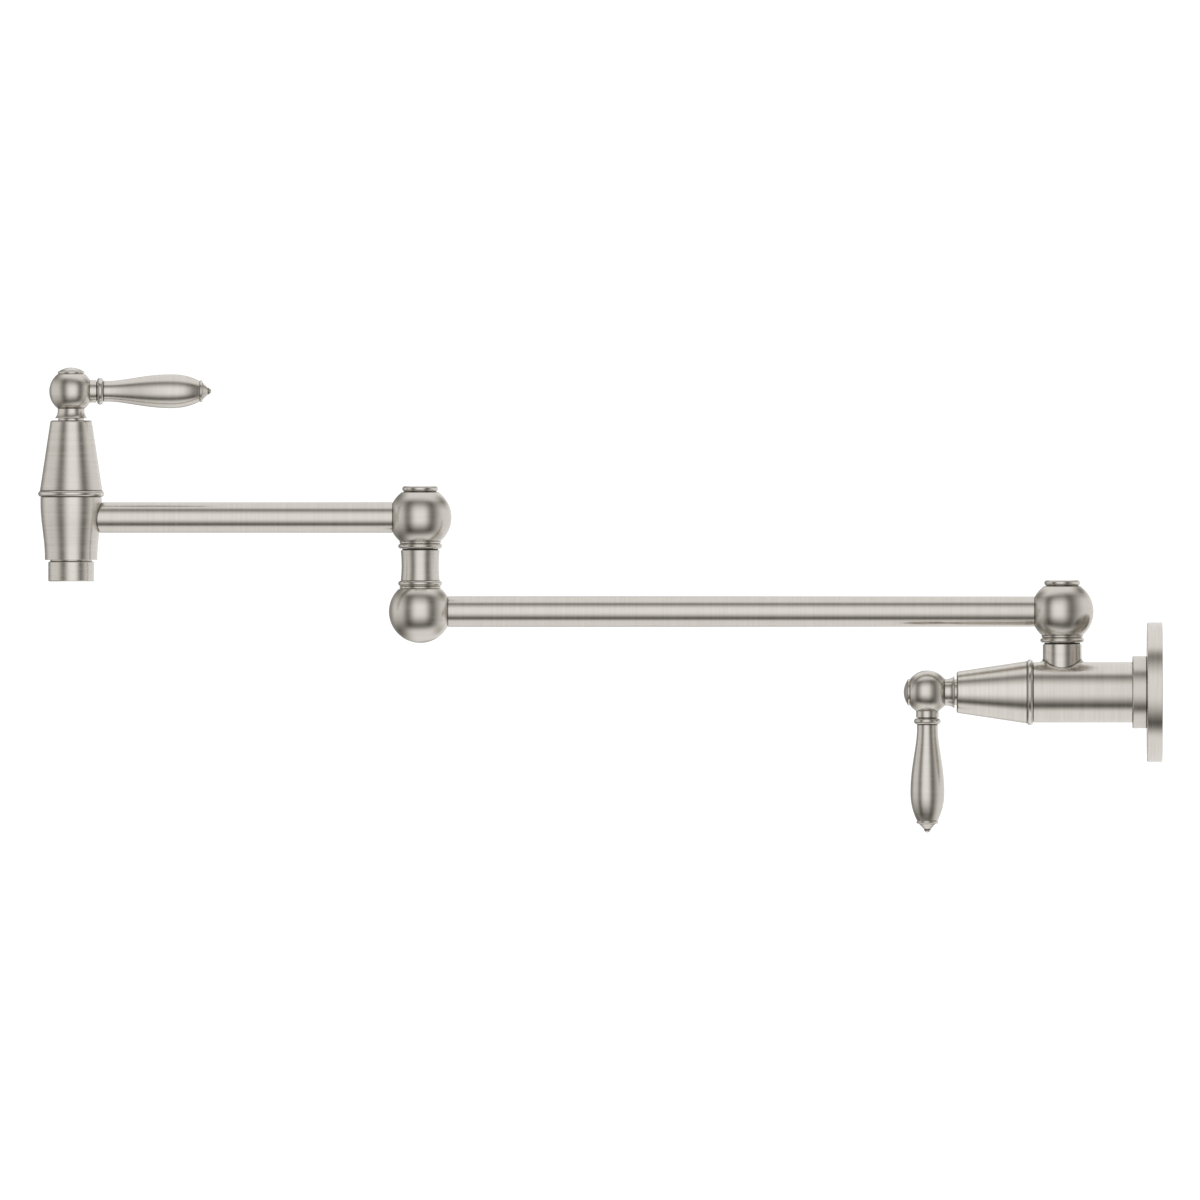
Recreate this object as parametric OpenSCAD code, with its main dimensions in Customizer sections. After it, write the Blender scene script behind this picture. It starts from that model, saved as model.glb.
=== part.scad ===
// Wall-mounted pot filler: two jointed arms, two quarter-turn valves, turned balls and levers.
// The origin is the centre of the supply inlet on the wall. +X runs into the wall and +Z is up.
// At rest both arms reach straight out from the wall, along -X. All sizes are in millimetres.

/* [Reach] */
// Distance from the wall to the axis of the first swivel
wall_swivel_x = 54; // [50:0.5:75]
// Distance between the axes of the two swivels
lower_arm_reach = 346.7; // [260:0.1:500]
// Distance from the elbow axis to the spout axis
upper_arm_reach = 188.5; // [120:0.1:250]
// Height of the top of the first swivel's neck above the inlet axis
wall_neck_top = 25.9; // [25:0.1:45]
// Length of the waisted part of the neck between the elbow's balls
elbow_waist_len = 16.5; // [14:0.1:60]

/* [Wall fitting] */
// Diameter of the cover plate
flange_d = 75.4; // [70:0.1:95]
// How far the cover plate stands off the wall
flange_depth = 8.2; // [7.5:0.1:14]
// Thickness of the cover plate's front
flange_front = 2.2; // [1.4:0.1:2.6]
// Width of the cover plate's rim
flange_rim = 3.7; // [2.5:0.1:4]
// Rounding of the cover plate's front edge
flange_round = 0.6; // [0.3:0.1:1.5]
// Width of the foam ring behind the cover plate
gasket_w = 3.2; // [2:0.1:3.4]
// Thickness of the foam ring behind the cover plate
gasket_t = 2; // [1:0.1:3]
// Gap between the foam ring and the mounting bracket
bracket_gap = 1.8; // [1:0.1:2.4]
// Thickness of the mounting bracket's plate
bracket_t = 3; // [2:0.1:4]
// Diameter of the mounting bracket's hub
bracket_hub_d = 35; // [33:0.1:37]
// Number of wall screws
screw_count = 4; // [3:1:6]
// Diameter of a wall screw's hole
screw_hole_d = 5.2; // [4:0.1:6]
// Outer diameter of the collar ring
collar_d = 39.1; // [35:0.1:48]
// Width of the collar ring
collar_w = 7.9; // [6:0.1:12]
// Bevel on the collar ring's edges
collar_bevel = 0.5; // [0.2:0.1:1]
// Diameter of the collar's grub screw
grub_d = 4; // [3:0.1:5]
// Length of the collar's grub screw
grub_len = 5; // [4:0.1:5.2]
// Width across the flats of the grub screw's socket
grub_socket = 2; // [1.5:0.1:2.5]

/* [Valve body] */
// Diameter of the valve body
body_d = 32.8; // [32:0.1:36]
// Distance from the first swivel's axis to the body's front face
body_front = 15.8; // [15:0.1:25]
// Diameter of the body's tail, which passes through the cover plate
tail_d = 28; // [26:0.1:30]
// Bore of the supply inlet, for a half-inch pipe thread
inlet_d = 20.4; // [18:0.1:21]
// Depth of the supply inlet
inlet_depth = 15; // [12:0.1:20]
// Bore between the inlet and the valve seat
water_d = 12; // [9:0.1:13]
// Diameter of the upright necks under the swivels
neck_d = 21; // [20:0.1:24]
// Radius of the hollow at the root of the body's neck
root_r = 2; // [1:0.1:2.4]
// Diameter of the space around the cartridge
chamber_d = 22; // [21:0.1:23]
// Depth of the valve seat behind the parting face of the bonnet
seat_depth = 24.4; // [22:0.1:26]
// Diameter of the thread that the bonnet screws onto
bonnet_thread_d = 28; // [27:0.1:28.6]
// Length of the thread that the bonnet screws onto
bonnet_thread_len = 9.2; // [7:0.1:12]

/* [Cartridge] */
// Diameter of the cartridge's thread
cartridge_d = 20; // [19.4:0.1:20.4]
// Length of the thread and sealing land above the chamber
cartridge_land = 10.7; // [9:0.1:12]
// Diameter of the cartridge's windowed barrel
barrel_d = 18; // [17.4:0.1:18.6]
// Height of the cartridge's seal ring above the chamber
cartridge_ring_rise = 2.6; // [1:0.1:4]
// Height of the side windows above the discs
window_rise = 0.5; // [0.2:0.1:1]
// Height of the cartridge's two side windows
window_h = 9; // [6:0.1:10]
// Width of the cartridge's two side windows
window_w = 8; // [5:0.1:10]
// Height of the cartridge's wide bore above its windows
window_roof = 2; // [1:0.1:2.4]
// Diameter of the flange that stops the cartridge on the body
cartridge_flange_d = 24; // [22:0.1:25]
// Thickness of that flange
cartridge_flange_t = 1.6; // [1:0.1:2]
// Width across the flats of the cartridge's hexagon
cartridge_hex = 21; // [19:0.1:22]
// Height of the cartridge's hexagon
cartridge_hex_h = 5; // [3:0.1:6]
// Diameter of the sleeve above the hexagon
sleeve_d = 15; // [13:0.1:17]
// Height of the sleeve above the hexagon
sleeve_h = 6.6; // [4:0.1:9]
// Diameter of the ceramic discs
disc_d = 15; // [14:0.1:15.4]
// Thickness of each ceramic disc
disc_t = 2.8; // [2:0.1:3.2]
// Rim left outside a disc's two ports
port_rim = 1.6; // [1:0.1:2]
// Width of a disc's two ports, along its radius
port_reach = 4; // [2:0.1:4.5]
// Outer diameter of the rubber seat seal
seal_d = 16; // [15.6:0.1:16.4]
// Bore of the rubber seat seal
seal_bore = 11; // [9:0.1:12]
// Thickness of the rubber seat seal
seal_t = 2.6; // [2:0.1:3]
// How far the seat seal stands out of the cartridge
seal_proud = 1; // [0.5:0.1:1.4]
// Diameter of the stem inside the cartridge
stem_d = 9; // [8.6:0.1:10]
// Diameter of the stem's two thrust collars
thrust_d = 12.8; // [12:0.1:13]
// Thickness of the stem's two thrust collars
thrust_t = 2.2; // [1.5:0.1:2.6]
// Depth of the key that turns the moving disc
key_depth = 0.9; // [0.5:0.1:1.2]
// Width of the key that turns the moving disc
key_w = 3.9; // [2:0.1:5]
// Distance from the upper thrust collar to the stem's first seal ring
stem_ring_rise = 3; // [1:0.1:6]
// Distance between the stem's two seal rings
stem_ring_pitch = 5; // [3:0.1:8]
// Diameter of the stem above the cartridge
drive_d = 8; // [7.4:0.1:8.2]
// Width across the four flats that turn the handle
drive_flats = 6.9; // [6.2:0.1:7]
// Outer diameter of the clip that holds the stem
clip_d = 12; // [11:0.1:13]
// Thickness of the clip that holds the stem
clip_t = 1; // [0.8:0.1:1.4]
// Depth of the clip's groove in the stem
clip_groove = 0.6; // [0.3:0.1:0.8]
// Opening in the side of the clip
clip_mouth = 4; // [3:0.1:5]

/* [Bonnet] */
// Length of the bonnet
bonnet_len = 41.2; // [38:0.1:60]
// Diameter of the bonnet's cone behind the end bead
bonnet_base_d = 33.8; // [33:0.1:37]
// Diameter of the bonnet's cone at the small end
bonnet_tip_d = 22.6; // [22:0.1:26]
// Rounding of the bonnet's small end
bonnet_round = 1.2; // [0.6:0.1:2]
// Wall of the bonnet's cone
bonnet_wall = 2.2; // [1.6:0.1:2.4]
// Thickness of the bonnet's closed small end
bonnet_end_t = 3.4; // [2.5:0.1:5]
// Diameter of the bonnet's end bead
bonnet_bead_d = 35.7; // [35:0.1:40]
// Width of the bonnet's end bead
bonnet_bead_w = 3.2; // [2:0.1:5]
// Outer diameter of the stem bush
bush_d = 12; // [11:0.1:14]
// Diameter of the stem bush's flange
bush_flange_d = 14; // [13.5:0.1:17]
// Thickness of the stem bush's flange
bush_flange_t = 0.8; // [0.6:0.1:1]

/* [Lever handle] */
// Height of the hub's ball above the bonnet
hub_rise = 15.8; // [15:0.1:20]
// Diameter of the hub's ball
hub_ball_d = 23.6; // [22.6:0.1:26]
// Distance from the ball's centre to the flat under its cap
hub_flat = 9.2; // [8.8:0.1:9.8]
// Diameter of the hub's waist
hub_waist_d = 14.4; // [13.4:0.1:17]
// Diameter of the rim of the hub's flared skirt
hub_skirt_d = 17.6; // [16:0.1:20]
// Height of the flare in the hub's skirt
hub_flare_h = 4.1; // [2.5:0.1:5]
// Gap between the skirt's rim and the bonnet
hub_reveal = 1.2; // [1.1:0.1:2]
// Diameter of the hub's short neck for the lever
lever_neck_d = 12.2; // [11:0.1:14]
// Distance from the hub's axis to the end of that neck
lever_neck_end = 13.7; // [13:0.1:16]
// Distance from the hub's axis to the end of the lever's grip
lever_end = 69.3; // [60:0.1:110]
// Height of the stem's end above the ball's centre
drive_rise = 0.3; // [0:0.1:0.8]
// Gap between the hub's neck and the lever's bead
lever_reveal = 0.3; // [0.1:0.1:1]
// Diameter of the lever inside that gap
lever_recess_d = 10.4; // [8:0.1:11]
// Diameter of the lever's bead
lever_bead_d = 14.5; // [13.5:0.1:18]
// Width of the lever's bead
lever_bead_w = 3.3; // [2:0.1:5]
// Straight length of the lever behind its bead
lever_waist_len = 2.7; // [1:0.1:10]
// Diameter of the lever at its waist and at its end
lever_waist_d = 11.2; // [10:0.1:14]
// Largest diameter of the lever
lever_belly_d = 18.3; // [14:0.1:24]
// How early the lever swells, where 1 is an even curve and less is earlier
lever_swell_power = 0.85; // [0.7:0.05:1.2]
// Distance from the lever's thickest point to the end of the grip
lever_nose_len = 15.3; // [10:0.1:25]
// How late the lever's nose closes, where 2 is a parabola and more is later
lever_nose_power = 2.2; // [1.6:0.1:3]
// Diameter of the lever's threaded stud
lever_stud_d = 6; // [4.5:0.1:6.5]
// Length of the lever's threaded stud
lever_stud_len = 7.8; // [6:0.1:8]
// Diameter of the disc on the finial
finial_d = 11.8; // [10:0.1:15]
// Thickness of the disc on the finial
finial_disc_t = 1.7; // [1:0.1:3]
// Diameter of the finial's cone at its base
finial_cone_d = 9.2; // [7:0.1:10]
// Length of the finial's cone
finial_cone_len = 3; // [2:0.1:6]
// Diameter of the finial's knob
finial_knob_d = 3.6; // [2.5:0.1:4.5]
// Length of the finial's knob
finial_knob_len = 1.8; // [1.4:0.1:3]
// Diameter of the finial's threaded stud
finial_stud_d = 4; // [3:0.1:4.5]
// Length of the finial's threaded stud
finial_stud_len = 8; // [5:0.1:12]
// Diameter of the hub's cap
hub_cap_d = 14.5; // [13.6:0.1:15]
// Thickness of the cap's rim
hub_cap_rim = 1.6; // [1:0.1:2.2]
// Height of the cap's dome
hub_dome_h = 2; // [1:0.1:3.5]
// Diameter of the plug under the cap
hub_plug_d = 10; // [9.4:0.1:10.4]
// Length of the plug under the cap
hub_plug_len = 2.8; // [2:0.1:3.2]
// Wall of the plug under the cap
hub_plug_wall = 1.2; // [0.8:0.1:2]
// Height of the handle screw's seat above the ball's centre
screw_seat_rise = 2.5; // [2:0.1:3]
// Diameter of the handle screw's thread
screw_d = 4; // [3:0.1:4.2]
// Length of the handle screw's thread
screw_len = 9.4; // [7:0.1:11]
// Diameter of the handle screw's head
screw_head_d = 7; // [6:0.1:7.4]
// Height of the handle screw's head
screw_head_h = 3; // [2:0.1:3.2]
// Width across the flats of the handle screw's socket
screw_socket = 2.5; // [2:0.1:3]
// Radial gap around the handle screw's head
screw_head_gap = 0.4; // [0.2:0.1:0.8]

/* [Swivels] */
// Diameter of the swivel balls
ball_d = 33.8; // [33:0.1:38]
// Height of a ball's centre above the neck that it turns on
ball_rise = 17.65; // [17.2:0.05:20]
// Gap between the neck and the bead under the ball
swivel_reveal = 0.9; // [0.7:0.1:1.5]
// Diameter of the bead under a ball
ball_bead_d = 23.8; // [22:0.1:26]
// Height of the bead under a ball
ball_bead_h = 2.6; // [2:0.1:3]
// Diameter of the thin ring between bead and ball
ball_ring_d = 22.4; // [20:0.1:24]
// Height of the thin ring between bead and ball
ball_ring_h = 1.6; // [1:0.1:2]
// How far the glide ring stands back from the bead
glide_recess = 2.2; // [1.5:0.1:3]
// Distance from a ball's centre to the flat under its cap
ball_flat = 13.65; // [13.4:0.05:14.2]
// Diameter of the ball's cap
ball_cap_d = 19.4; // [18.6:0.1:19.8]
// Height of the ball's cap
ball_cap_h = 3.3; // [2:0.1:5]
// Height of the foot under the cap's rounded edge
ball_cap_foot_h = 0.3; // [0.1:0.1:0.6]
// How far the cap's foot stands back from its edge
ball_cap_foot_in = 0.6; // [0.3:0.1:0.7]
// Diameter of the spindle that a ball turns on
journal_d = 14; // [13:0.1:14.6]
// Bore of the spindle
spindle_bore = 8; // [6:0.1:8.4]
// Height of the lowest seal ring above the foot of the ball's bead
low_ring_rise = 2.6; // [1:0.1:3]
// Distance between the two lower seal rings
low_ring_pitch = 4.6; // [3:0.1:5]
// Length of the spindle's threaded foot
foot_len = 11; // [9:0.1:11.4]
// Diameter of the spindle's waist inside the water chamber
spindle_waist_d = 11.4; // [10:0.1:12.4]
// Diameter of the water chamber inside a ball
ball_chamber_d = 18; // [17:0.1:20]
// Height of the water chamber inside a ball
ball_chamber_h = 10; // [8:0.1:10.6]
// Height of the upper journal above the water chamber
upper_journal_h = 4; // [3.6:0.1:4.4]
// Diameter of the recess over the upper journal
ball_recess_d = 17.1; // [16.6:0.1:17.5]
// Diameter of the swivel washer
washer_d = 16.7; // [15.8:0.1:16.8]
// Thickness of the swivel washer
washer_t = 1; // [0.8:0.1:1.2]
// Diameter of the spindle's threaded tip
tip_d = 6; // [5:0.1:6.6]
// Width across the flats of the swivel nut
nut_flats = 10; // [9:0.1:10.6]
// Height of the swivel nut
nut_h = 2.8; // [2:0.1:3]
// How far the spindle's tip stands out of the nut
tip_proud = 0.3; // [0.1:0.1:0.4]
// Wall of the threaded rim under a ball's cap
cap_rim_t = 1.8; // [1.2:0.1:2]
// Diameter of a cross port in the spindle
port_d = 6; // [4:0.1:7]

/* [Elbow neck] */
// Distance from the lower ball's centre to the flat that carries the neck
elbow_seat = 12.15; // [11.8:0.05:12.6]
// Height of the thin ring at the foot of the neck
elbow_ring_h = 1.6; // [1:0.1:2.5]
// Height of the bead at the foot of the neck
elbow_bead_h = 2.9; // [2:0.1:4]
// How much the neck narrows at its middle, on the radius
elbow_waist_in = 0.45; // [0.2:0.05:1]
// Diameter of the neck's spigot in the lower ball
spigot_d = 16; // [14:0.1:17]
// Length of the neck's spigot in the lower ball
spigot_len = 5.4; // [3:0.1:6]
// Bore through the neck under the spindle's foot
neck_bore = 10; // [8:0.1:11]

/* [Arms] */
// Diameter of the arm tubes
tube_d = 16.4; // [15:0.1:17]
// Wall of the arm tubes
tube_wall = 1; // [0.8:0.1:1.5]
// Length of the water passage between a ball's chamber and its tube
passage_len = 1.3; // [0.8:0.1:1.8]

/* [Spout] */
// Length of the spout barrel
spout_len = 34.1; // [33:0.1:40]
// Straight height at the barrel's foot
spout_foot_land = 0.5; // [0.2:0.1:2]
// Straight height under the barrel's top
spout_top_land = 3; // [1:0.1:5]
// Diameter of the barrel at its top
spout_top_d = 33.1; // [32.4:0.1:35]
// Diameter of the barrel at its foot
spout_foot_d = 28.3; // [27.6:0.1:31]
// Height of the upper tube's axis above the barrel's foot
spout_tube_h = 22.9; // [21:0.1:23.5]
// Bore between the valve seat and the aerator
outlet_d = 11; // [9:0.1:12]
// Diameter of the aerator's sleeve
aerator_d = 24.7; // [24.2:0.1:27]
// Length of the aerator's sleeve
aerator_len = 10.7; // [8:0.1:16]
// Bevel on the sleeve's edges
aerator_bevel = 0.4; // [0.2:0.1:0.8]
// Diameter of the aerator's thread
aerator_thread_d = 22.6; // [21.8:0.1:23]
// Length of the aerator's thread inside the barrel
aerator_thread_len = 5.2; // [4:0.1:5.6]
// Gap between the barrel and the aerator's sleeve
aerator_reveal = 0.9; // [0.5:0.1:2]
// Wall of the aerator's thread
aerator_wall = 1.1; // [0.8:0.1:1.3]
// Opening in the aerator's lip
aerator_mouth_d = 17.6; // [15:0.1:18.4]
// Thickness of the aerator's lip
aerator_lip = 1.8; // [1:0.1:3]
// Thickness of the aerator's rubber washer
aerator_washer_t = 1.5; // [1:0.1:1.6]
// Bore of the aerator's rubber washer
aerator_washer_bore = 15; // [12:0.1:17]
// Wall of the plastic insert
insert_wall = 1.5; // [1:0.1:2]
// Distance from the top of the insert to the end of the aerator's thread
insert_drop = 2; // [1.6:0.1:3]
// Rings of honeycomb cells around the middle one
comb_rings = 2; // [1:1:2]
// Thickness of the honeycomb in the insert
comb_t = 3; // [2:0.1:5]
// Width across the flats of a honeycomb cell
cell_w = 2.1; // [1.6:0.1:2.2]
// Web between two honeycomb cells
cell_web = 0.6; // [0.4:0.1:0.8]
// Thickness of the screen over the insert
screen_t = 0.6; // [0.4:0.1:1]
// Diameter of a hole in the screen
screen_hole_d = 1.4; // [1:0.1:2]
// Rings of holes in the screen
screen_rings = 3; // [1:1:3]

/* [Seal rings and fits] */
// Depth of a seal ring's groove in a spindle
groove_depth = 1.4; // [1:0.1:1.6]
// Width of a seal ring's groove
groove_w = 2.1; // [1.8:0.1:2.3]
// Depth of a seal ring's groove in a cartridge or stem
small_groove_depth = 1.2; // [1:0.1:1.3]
// Radial gap between fitted pieces, fixed or running
fit_gap = 0.05; // [0.02:0.01:0.1]
// Gap between faces that turn past each other
face_gap = 0.1; // [0.05:0.01:0.2]
// Water film between the ceramic discs
film_gap = 0.02; // [0.01:0.01:0.05]
// Gap between a seal ring and its groove
ring_gap = 0.01; // [0:0.01:0.05]
// Gap left at the bottom of a blind hole
end_gap = 0.2; // [0.1:0.05:0.4]
// Gap between a cover and what it closes over
cover_gap = 0.4; // [0.2:0.1:0.6]

/* [Hidden] */
$fn = 64;
// Number of points along a curved profile, and of steps at the root of the neck
profile_steps = 16;
root_steps = 8;
// How far a cutter reaches past a face, and how deep a solid sinks into its neighbour
over = 1;
lap = 0.5;

// Colours of the finishes
nickel = [0.75, 0.72, 0.68];
brass = [0.80, 0.66, 0.36];
steel = [0.66, 0.67, 0.68];
rubber = [0.10, 0.10, 0.10];
ceramic = [0.92, 0.91, 0.88];
plastic = [0.86, 0.86, 0.84];
black_plastic = [0.14, 0.14, 0.13];

// Where the swivels, arms and spout lie
swivel_x = -wall_swivel_x;
elbow_x = swivel_x - lower_arm_reach;
spout_x = elbow_x - upper_arm_reach;
lower_arm_z = wall_neck_top + ball_rise;
elbow_neck_z = lower_arm_z + elbow_seat;
elbow_neck_h = elbow_ring_h + elbow_bead_h + elbow_waist_len;
elbow_neck_top = elbow_neck_z + elbow_neck_h;
upper_arm_z = elbow_neck_top + ball_rise;
spout_foot_z = upper_arm_z - spout_tube_h;
spout_top_z = spout_foot_z + spout_len;
body_front_x = swivel_x - body_front;
collar_back_x = -flange_depth;
body_back_x = collar_back_x - collar_w;

// Heights in the valve's own frame: z is 0 at the valve seat and rises towards the handle
parting_z = seat_depth;
chamber_top_z = parting_z + bonnet_thread_len - cartridge_land;
flange_z = parting_z + bonnet_thread_len;
hex_z = flange_z + cartridge_flange_t;
sleeve_z = hex_z + cartridge_hex_h;
sleeve_top_z = sleeve_z + sleeve_h;
fixed_disc_z = seal_t;
moving_disc_z = fixed_disc_z + disc_t + film_gap;
driver_z = moving_disc_z + disc_t + film_gap;
window_z = driver_z + window_rise;
thrust_top_z = window_z + window_h + window_roof;
bonnet_top_z = parting_z + bonnet_len;
hub_z = bonnet_top_z + hub_rise;
skirt_z = bonnet_top_z + hub_reveal;
clip_z = sleeve_top_z + face_gap;
stem_ring_z = [thrust_top_z + stem_ring_rise, thrust_top_z + stem_ring_rise + stem_ring_pitch];
cartridge_ring_z = chamber_top_z + cartridge_ring_rise;

// Heights in the handle, measured in the valve's frame
stem_top_z = hub_z + drive_rise;
drive_bore_top_z = stem_top_z + end_gap;
screw_seat_z = hub_z + screw_seat_rise;
screw_end_z = screw_seat_z - screw_len;
hub_plug_z = hub_z + hub_flat - hub_plug_len;
hub_top_z = hub_z + hub_flat;

// Heights in a swivel's own frame: z is 0 at the top of the neck
bead_z = swivel_reveal;
chamber_low_z = ball_rise - ball_chamber_h / 2;
chamber_high_z = ball_rise + ball_chamber_h / 2;
ledge_z = chamber_high_z + upper_journal_h;
washer_z = ledge_z + face_gap;
nut_z = washer_z + washer_t;
ball_top_z = ball_rise + ball_flat;
cap_rim_z = nut_z + cover_gap;
tip_top_z = nut_z + nut_h + tip_proud;
low_ring_z = bead_z + low_ring_rise;
high_ring_z = chamber_high_z + (upper_journal_h - groove_w) / 2;
swivel_groove_z = [low_ring_z, low_ring_z + low_ring_pitch, high_ring_z];

// Radii that several pieces share
ball_socket_r = ball_chamber_d / 2 + passage_len;
spout_socket_r = chamber_d / 2 + passage_len;
tube_bore = tube_d - 2 * tube_wall;
cavity_d = flange_d - 2 * flange_rim;
cavity_depth = flange_depth - flange_front;
bracket_d = cavity_d - 2 * gasket_w - 2 * bracket_gap;
screw_circle_d = (bracket_d + bracket_hub_d) / 2;

// A rectangle of the turned profile, from one radius to another
module band(r0, r1, z0, z1) {
    translate([r0, z0]) square([r1 - r0, z1 - z0]);
}

// The part of a turned profile that a bore takes away
module bore(r, z0, z1) {
    translate([-over, z0]) square([r + over, z1 - z0]);
}

// A fully rounded bead
module bead(r, z0, z1) {
    e = (z1 - z0) / 2;
    band(0, r - e, z0, z1);
    translate([r - e, z0 + e]) circle(e);
}

// A disc with both edges bevelled
module bevelled_disc(r, z0, z1, e) {
    polygon([[0, z0], [r - e, z0], [r, z0 + e], [r, z1 - e], [r - e, z1], [0, z1]]);
}

// The part of a ball between two heights
module ball_slice(r, centre, z0, z1) {
    intersection() {
        translate([0, centre]) circle(r);
        band(0, r + over, z0, z1);
    }
}

// A rubber ring that fills the groove between an inner and an outer radius
module seal_ring(inner_r, outer_r, z) {
    section_r = (outer_r - inner_r) / 2 - ring_gap;
    translate([0, 0, z]) rotate_extrude() translate([(inner_r + outer_r) / 2, 0]) circle(section_r);
}

// Places along the object

module at_wall_valve() {
    translate([body_front_x + seat_depth, 0, 0]) rotate([0, -90, 0]) rotate([0, 0, 180]) children();
}

module at_spout_valve() {
    translate([spout_x, 0, spout_top_z - seat_depth]) children();
}

module at_wall_swivel() {
    translate([swivel_x, 0, wall_neck_top]) children();
}

module at_elbow_swivel() {
    translate([elbow_x, 0, elbow_neck_top]) children();
}

module at_wall_axis() {
    rotate([0, -90, 0]) children();
}

// Wall fitting

module wall_flange() {
    r = flange_d / 2;
    color(nickel) at_wall_axis() rotate_extrude() difference() {
        union() {
            band(0, r, 0, flange_depth - flange_round);
            band(0, r - flange_round, 0, flange_depth);
            translate([r - flange_round, flange_depth - flange_round]) circle(flange_round);
        }
        bore(cavity_d / 2, -over, cavity_depth);
        bore(tail_d / 2 + fit_gap, -over, flange_depth + over);
    }
}

module flange_gasket() {
    outer = cavity_d / 2 - fit_gap;
    color(rubber) at_wall_axis() rotate_extrude() band(outer - gasket_w, outer, 0, gasket_t);
}

module mounting_bracket() {
    hub_h = cavity_depth - 2 * face_gap;
    color(steel) at_wall_axis() difference() {
        rotate_extrude() {
            band(tail_d / 2 + fit_gap, bracket_d / 2, 0, bracket_t);
            band(tail_d / 2 + fit_gap, bracket_hub_d / 2, 0, hub_h);
        }
        for (i = [0 : screw_count - 1]) {
            rotate(45 + i * 360 / screw_count) translate([screw_circle_d / 2, 0, -over])
                cylinder(d = screw_hole_d, h = bracket_t + 2 * over);
        }
    }
}

// The ring is threaded onto the tail and holds the cover plate against the wall
module flange_collar() {
    mid = flange_depth + collar_w / 2;
    color(nickel) at_wall_axis() difference() {
        rotate_extrude() difference() {
            bevelled_disc(collar_d / 2, flange_depth, flange_depth + collar_w, collar_bevel);
            bore(tail_d / 2 + fit_gap, flange_depth - over, flange_depth + collar_w + over);
        }
        translate([0, 0, mid]) rotate([0, -90, 0]) cylinder(r = grub_d / 2 + fit_gap, h = collar_d);
    }
}

module collar_set_screw() {
    mid = flange_depth + collar_w / 2;
    start = tail_d / 2 + fit_gap;
    color(steel) at_wall_axis() translate([0, 0, mid]) rotate([0, -90, 0]) difference() {
        translate([0, 0, start]) cylinder(d = grub_d, h = grub_len);
        translate([0, 0, start + grub_len / 2])
            cylinder(d = grub_socket / cos(30), h = grub_len, $fn = 6);
    }
}

// The hollow at the root of the neck, in fine steps that follow a quarter circle
module neck_root() {
    for (i = [1 : root_steps]) {
        angle = 90 * i / (root_steps + 1);
        intersection() {
            translate([swivel_x, 0, 0])
                cylinder(r = neck_d / 2 + root_r * (1 - sin(angle)), h = wall_neck_top);
            translate([body_front_x, 0, 0]) rotate([0, 90, 0])
                cylinder(r = body_d / 2 + root_r * (1 - cos(angle)), h = body_back_x - body_front_x);
        }
    }
}

// The body is turned along the inlet's axis and carries the upright neck
module valve_body() {
    front = -body_front_x;
    seat = front - seat_depth;
    color(nickel) difference() {
        union() {
            neck_root();
            at_wall_axis() rotate_extrude() {
                band(0, tail_d / 2, 0, front);
                band(0, body_d / 2, -body_back_x, front);
                band(0, bonnet_thread_d / 2, front, front + bonnet_thread_len);
            }
            translate([swivel_x, 0, 0]) cylinder(d = neck_d, h = wall_neck_top);
        }
        at_wall_axis() rotate_extrude() {
            band(0, inlet_d / 2, -over, inlet_depth);
            band(0, water_d / 2, 0, front);
            band(0, chamber_d / 2, seat, seat + chamber_top_z);
            band(0, cartridge_d / 2 + fit_gap, seat + chamber_top_z - over,
                front + bonnet_thread_len + over);
        }
        translate([swivel_x, 0, wall_neck_top - foot_len])
            cylinder(r = journal_d / 2 + fit_gap, h = foot_len + over);
        translate([swivel_x, 0, 0]) cylinder(d = spindle_bore, h = wall_neck_top);
    }
}

// Valve unit, drawn in the valve's own frame

module bonnet() {
    base_r = bonnet_base_d / 2;
    tip_r = bonnet_tip_d / 2;
    cone_z = parting_z + bonnet_bead_w;
    cone_top = bonnet_top_z - bonnet_round;
    thread_top = flange_z + cover_gap;
    end_z = bonnet_top_z - bonnet_end_t;
    slope = (base_r - tip_r) / (cone_top - cone_z);
    color(nickel) rotate_extrude() difference() {
        union() {
            bead(bonnet_bead_d / 2, parting_z, cone_z);
            polygon([
                [0, cone_z - over],
                [base_r + slope * over, cone_z - over],
                [tip_r, cone_top],
                [0, cone_top]
            ]);
            band(0, tip_r - bonnet_round, cone_top - over, bonnet_top_z);
            translate([tip_r - bonnet_round, cone_top]) circle(bonnet_round);
        }
        bore(bonnet_thread_d / 2 + fit_gap, parting_z - over, thread_top);
        polygon([
            [-over, thread_top - over],
            [base_r - bonnet_wall - slope * (thread_top - over - cone_z), thread_top - over],
            [base_r - bonnet_wall - slope * (end_z - cone_z), end_z],
            [-over, end_z]
        ]);
        bore(bush_d / 2 + fit_gap, end_z - over, bonnet_top_z + over);
    }
}

module stem_bush() {
    color(nickel) rotate_extrude() difference() {
        union() {
            band(0, bush_d / 2, bonnet_top_z - bonnet_end_t, bonnet_top_z);
            band(0, bush_flange_d / 2, bonnet_top_z, bonnet_top_z + bush_flange_t);
        }
        bore(drive_d / 2 + fit_gap, parting_z, hub_z);
    }
}

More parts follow.
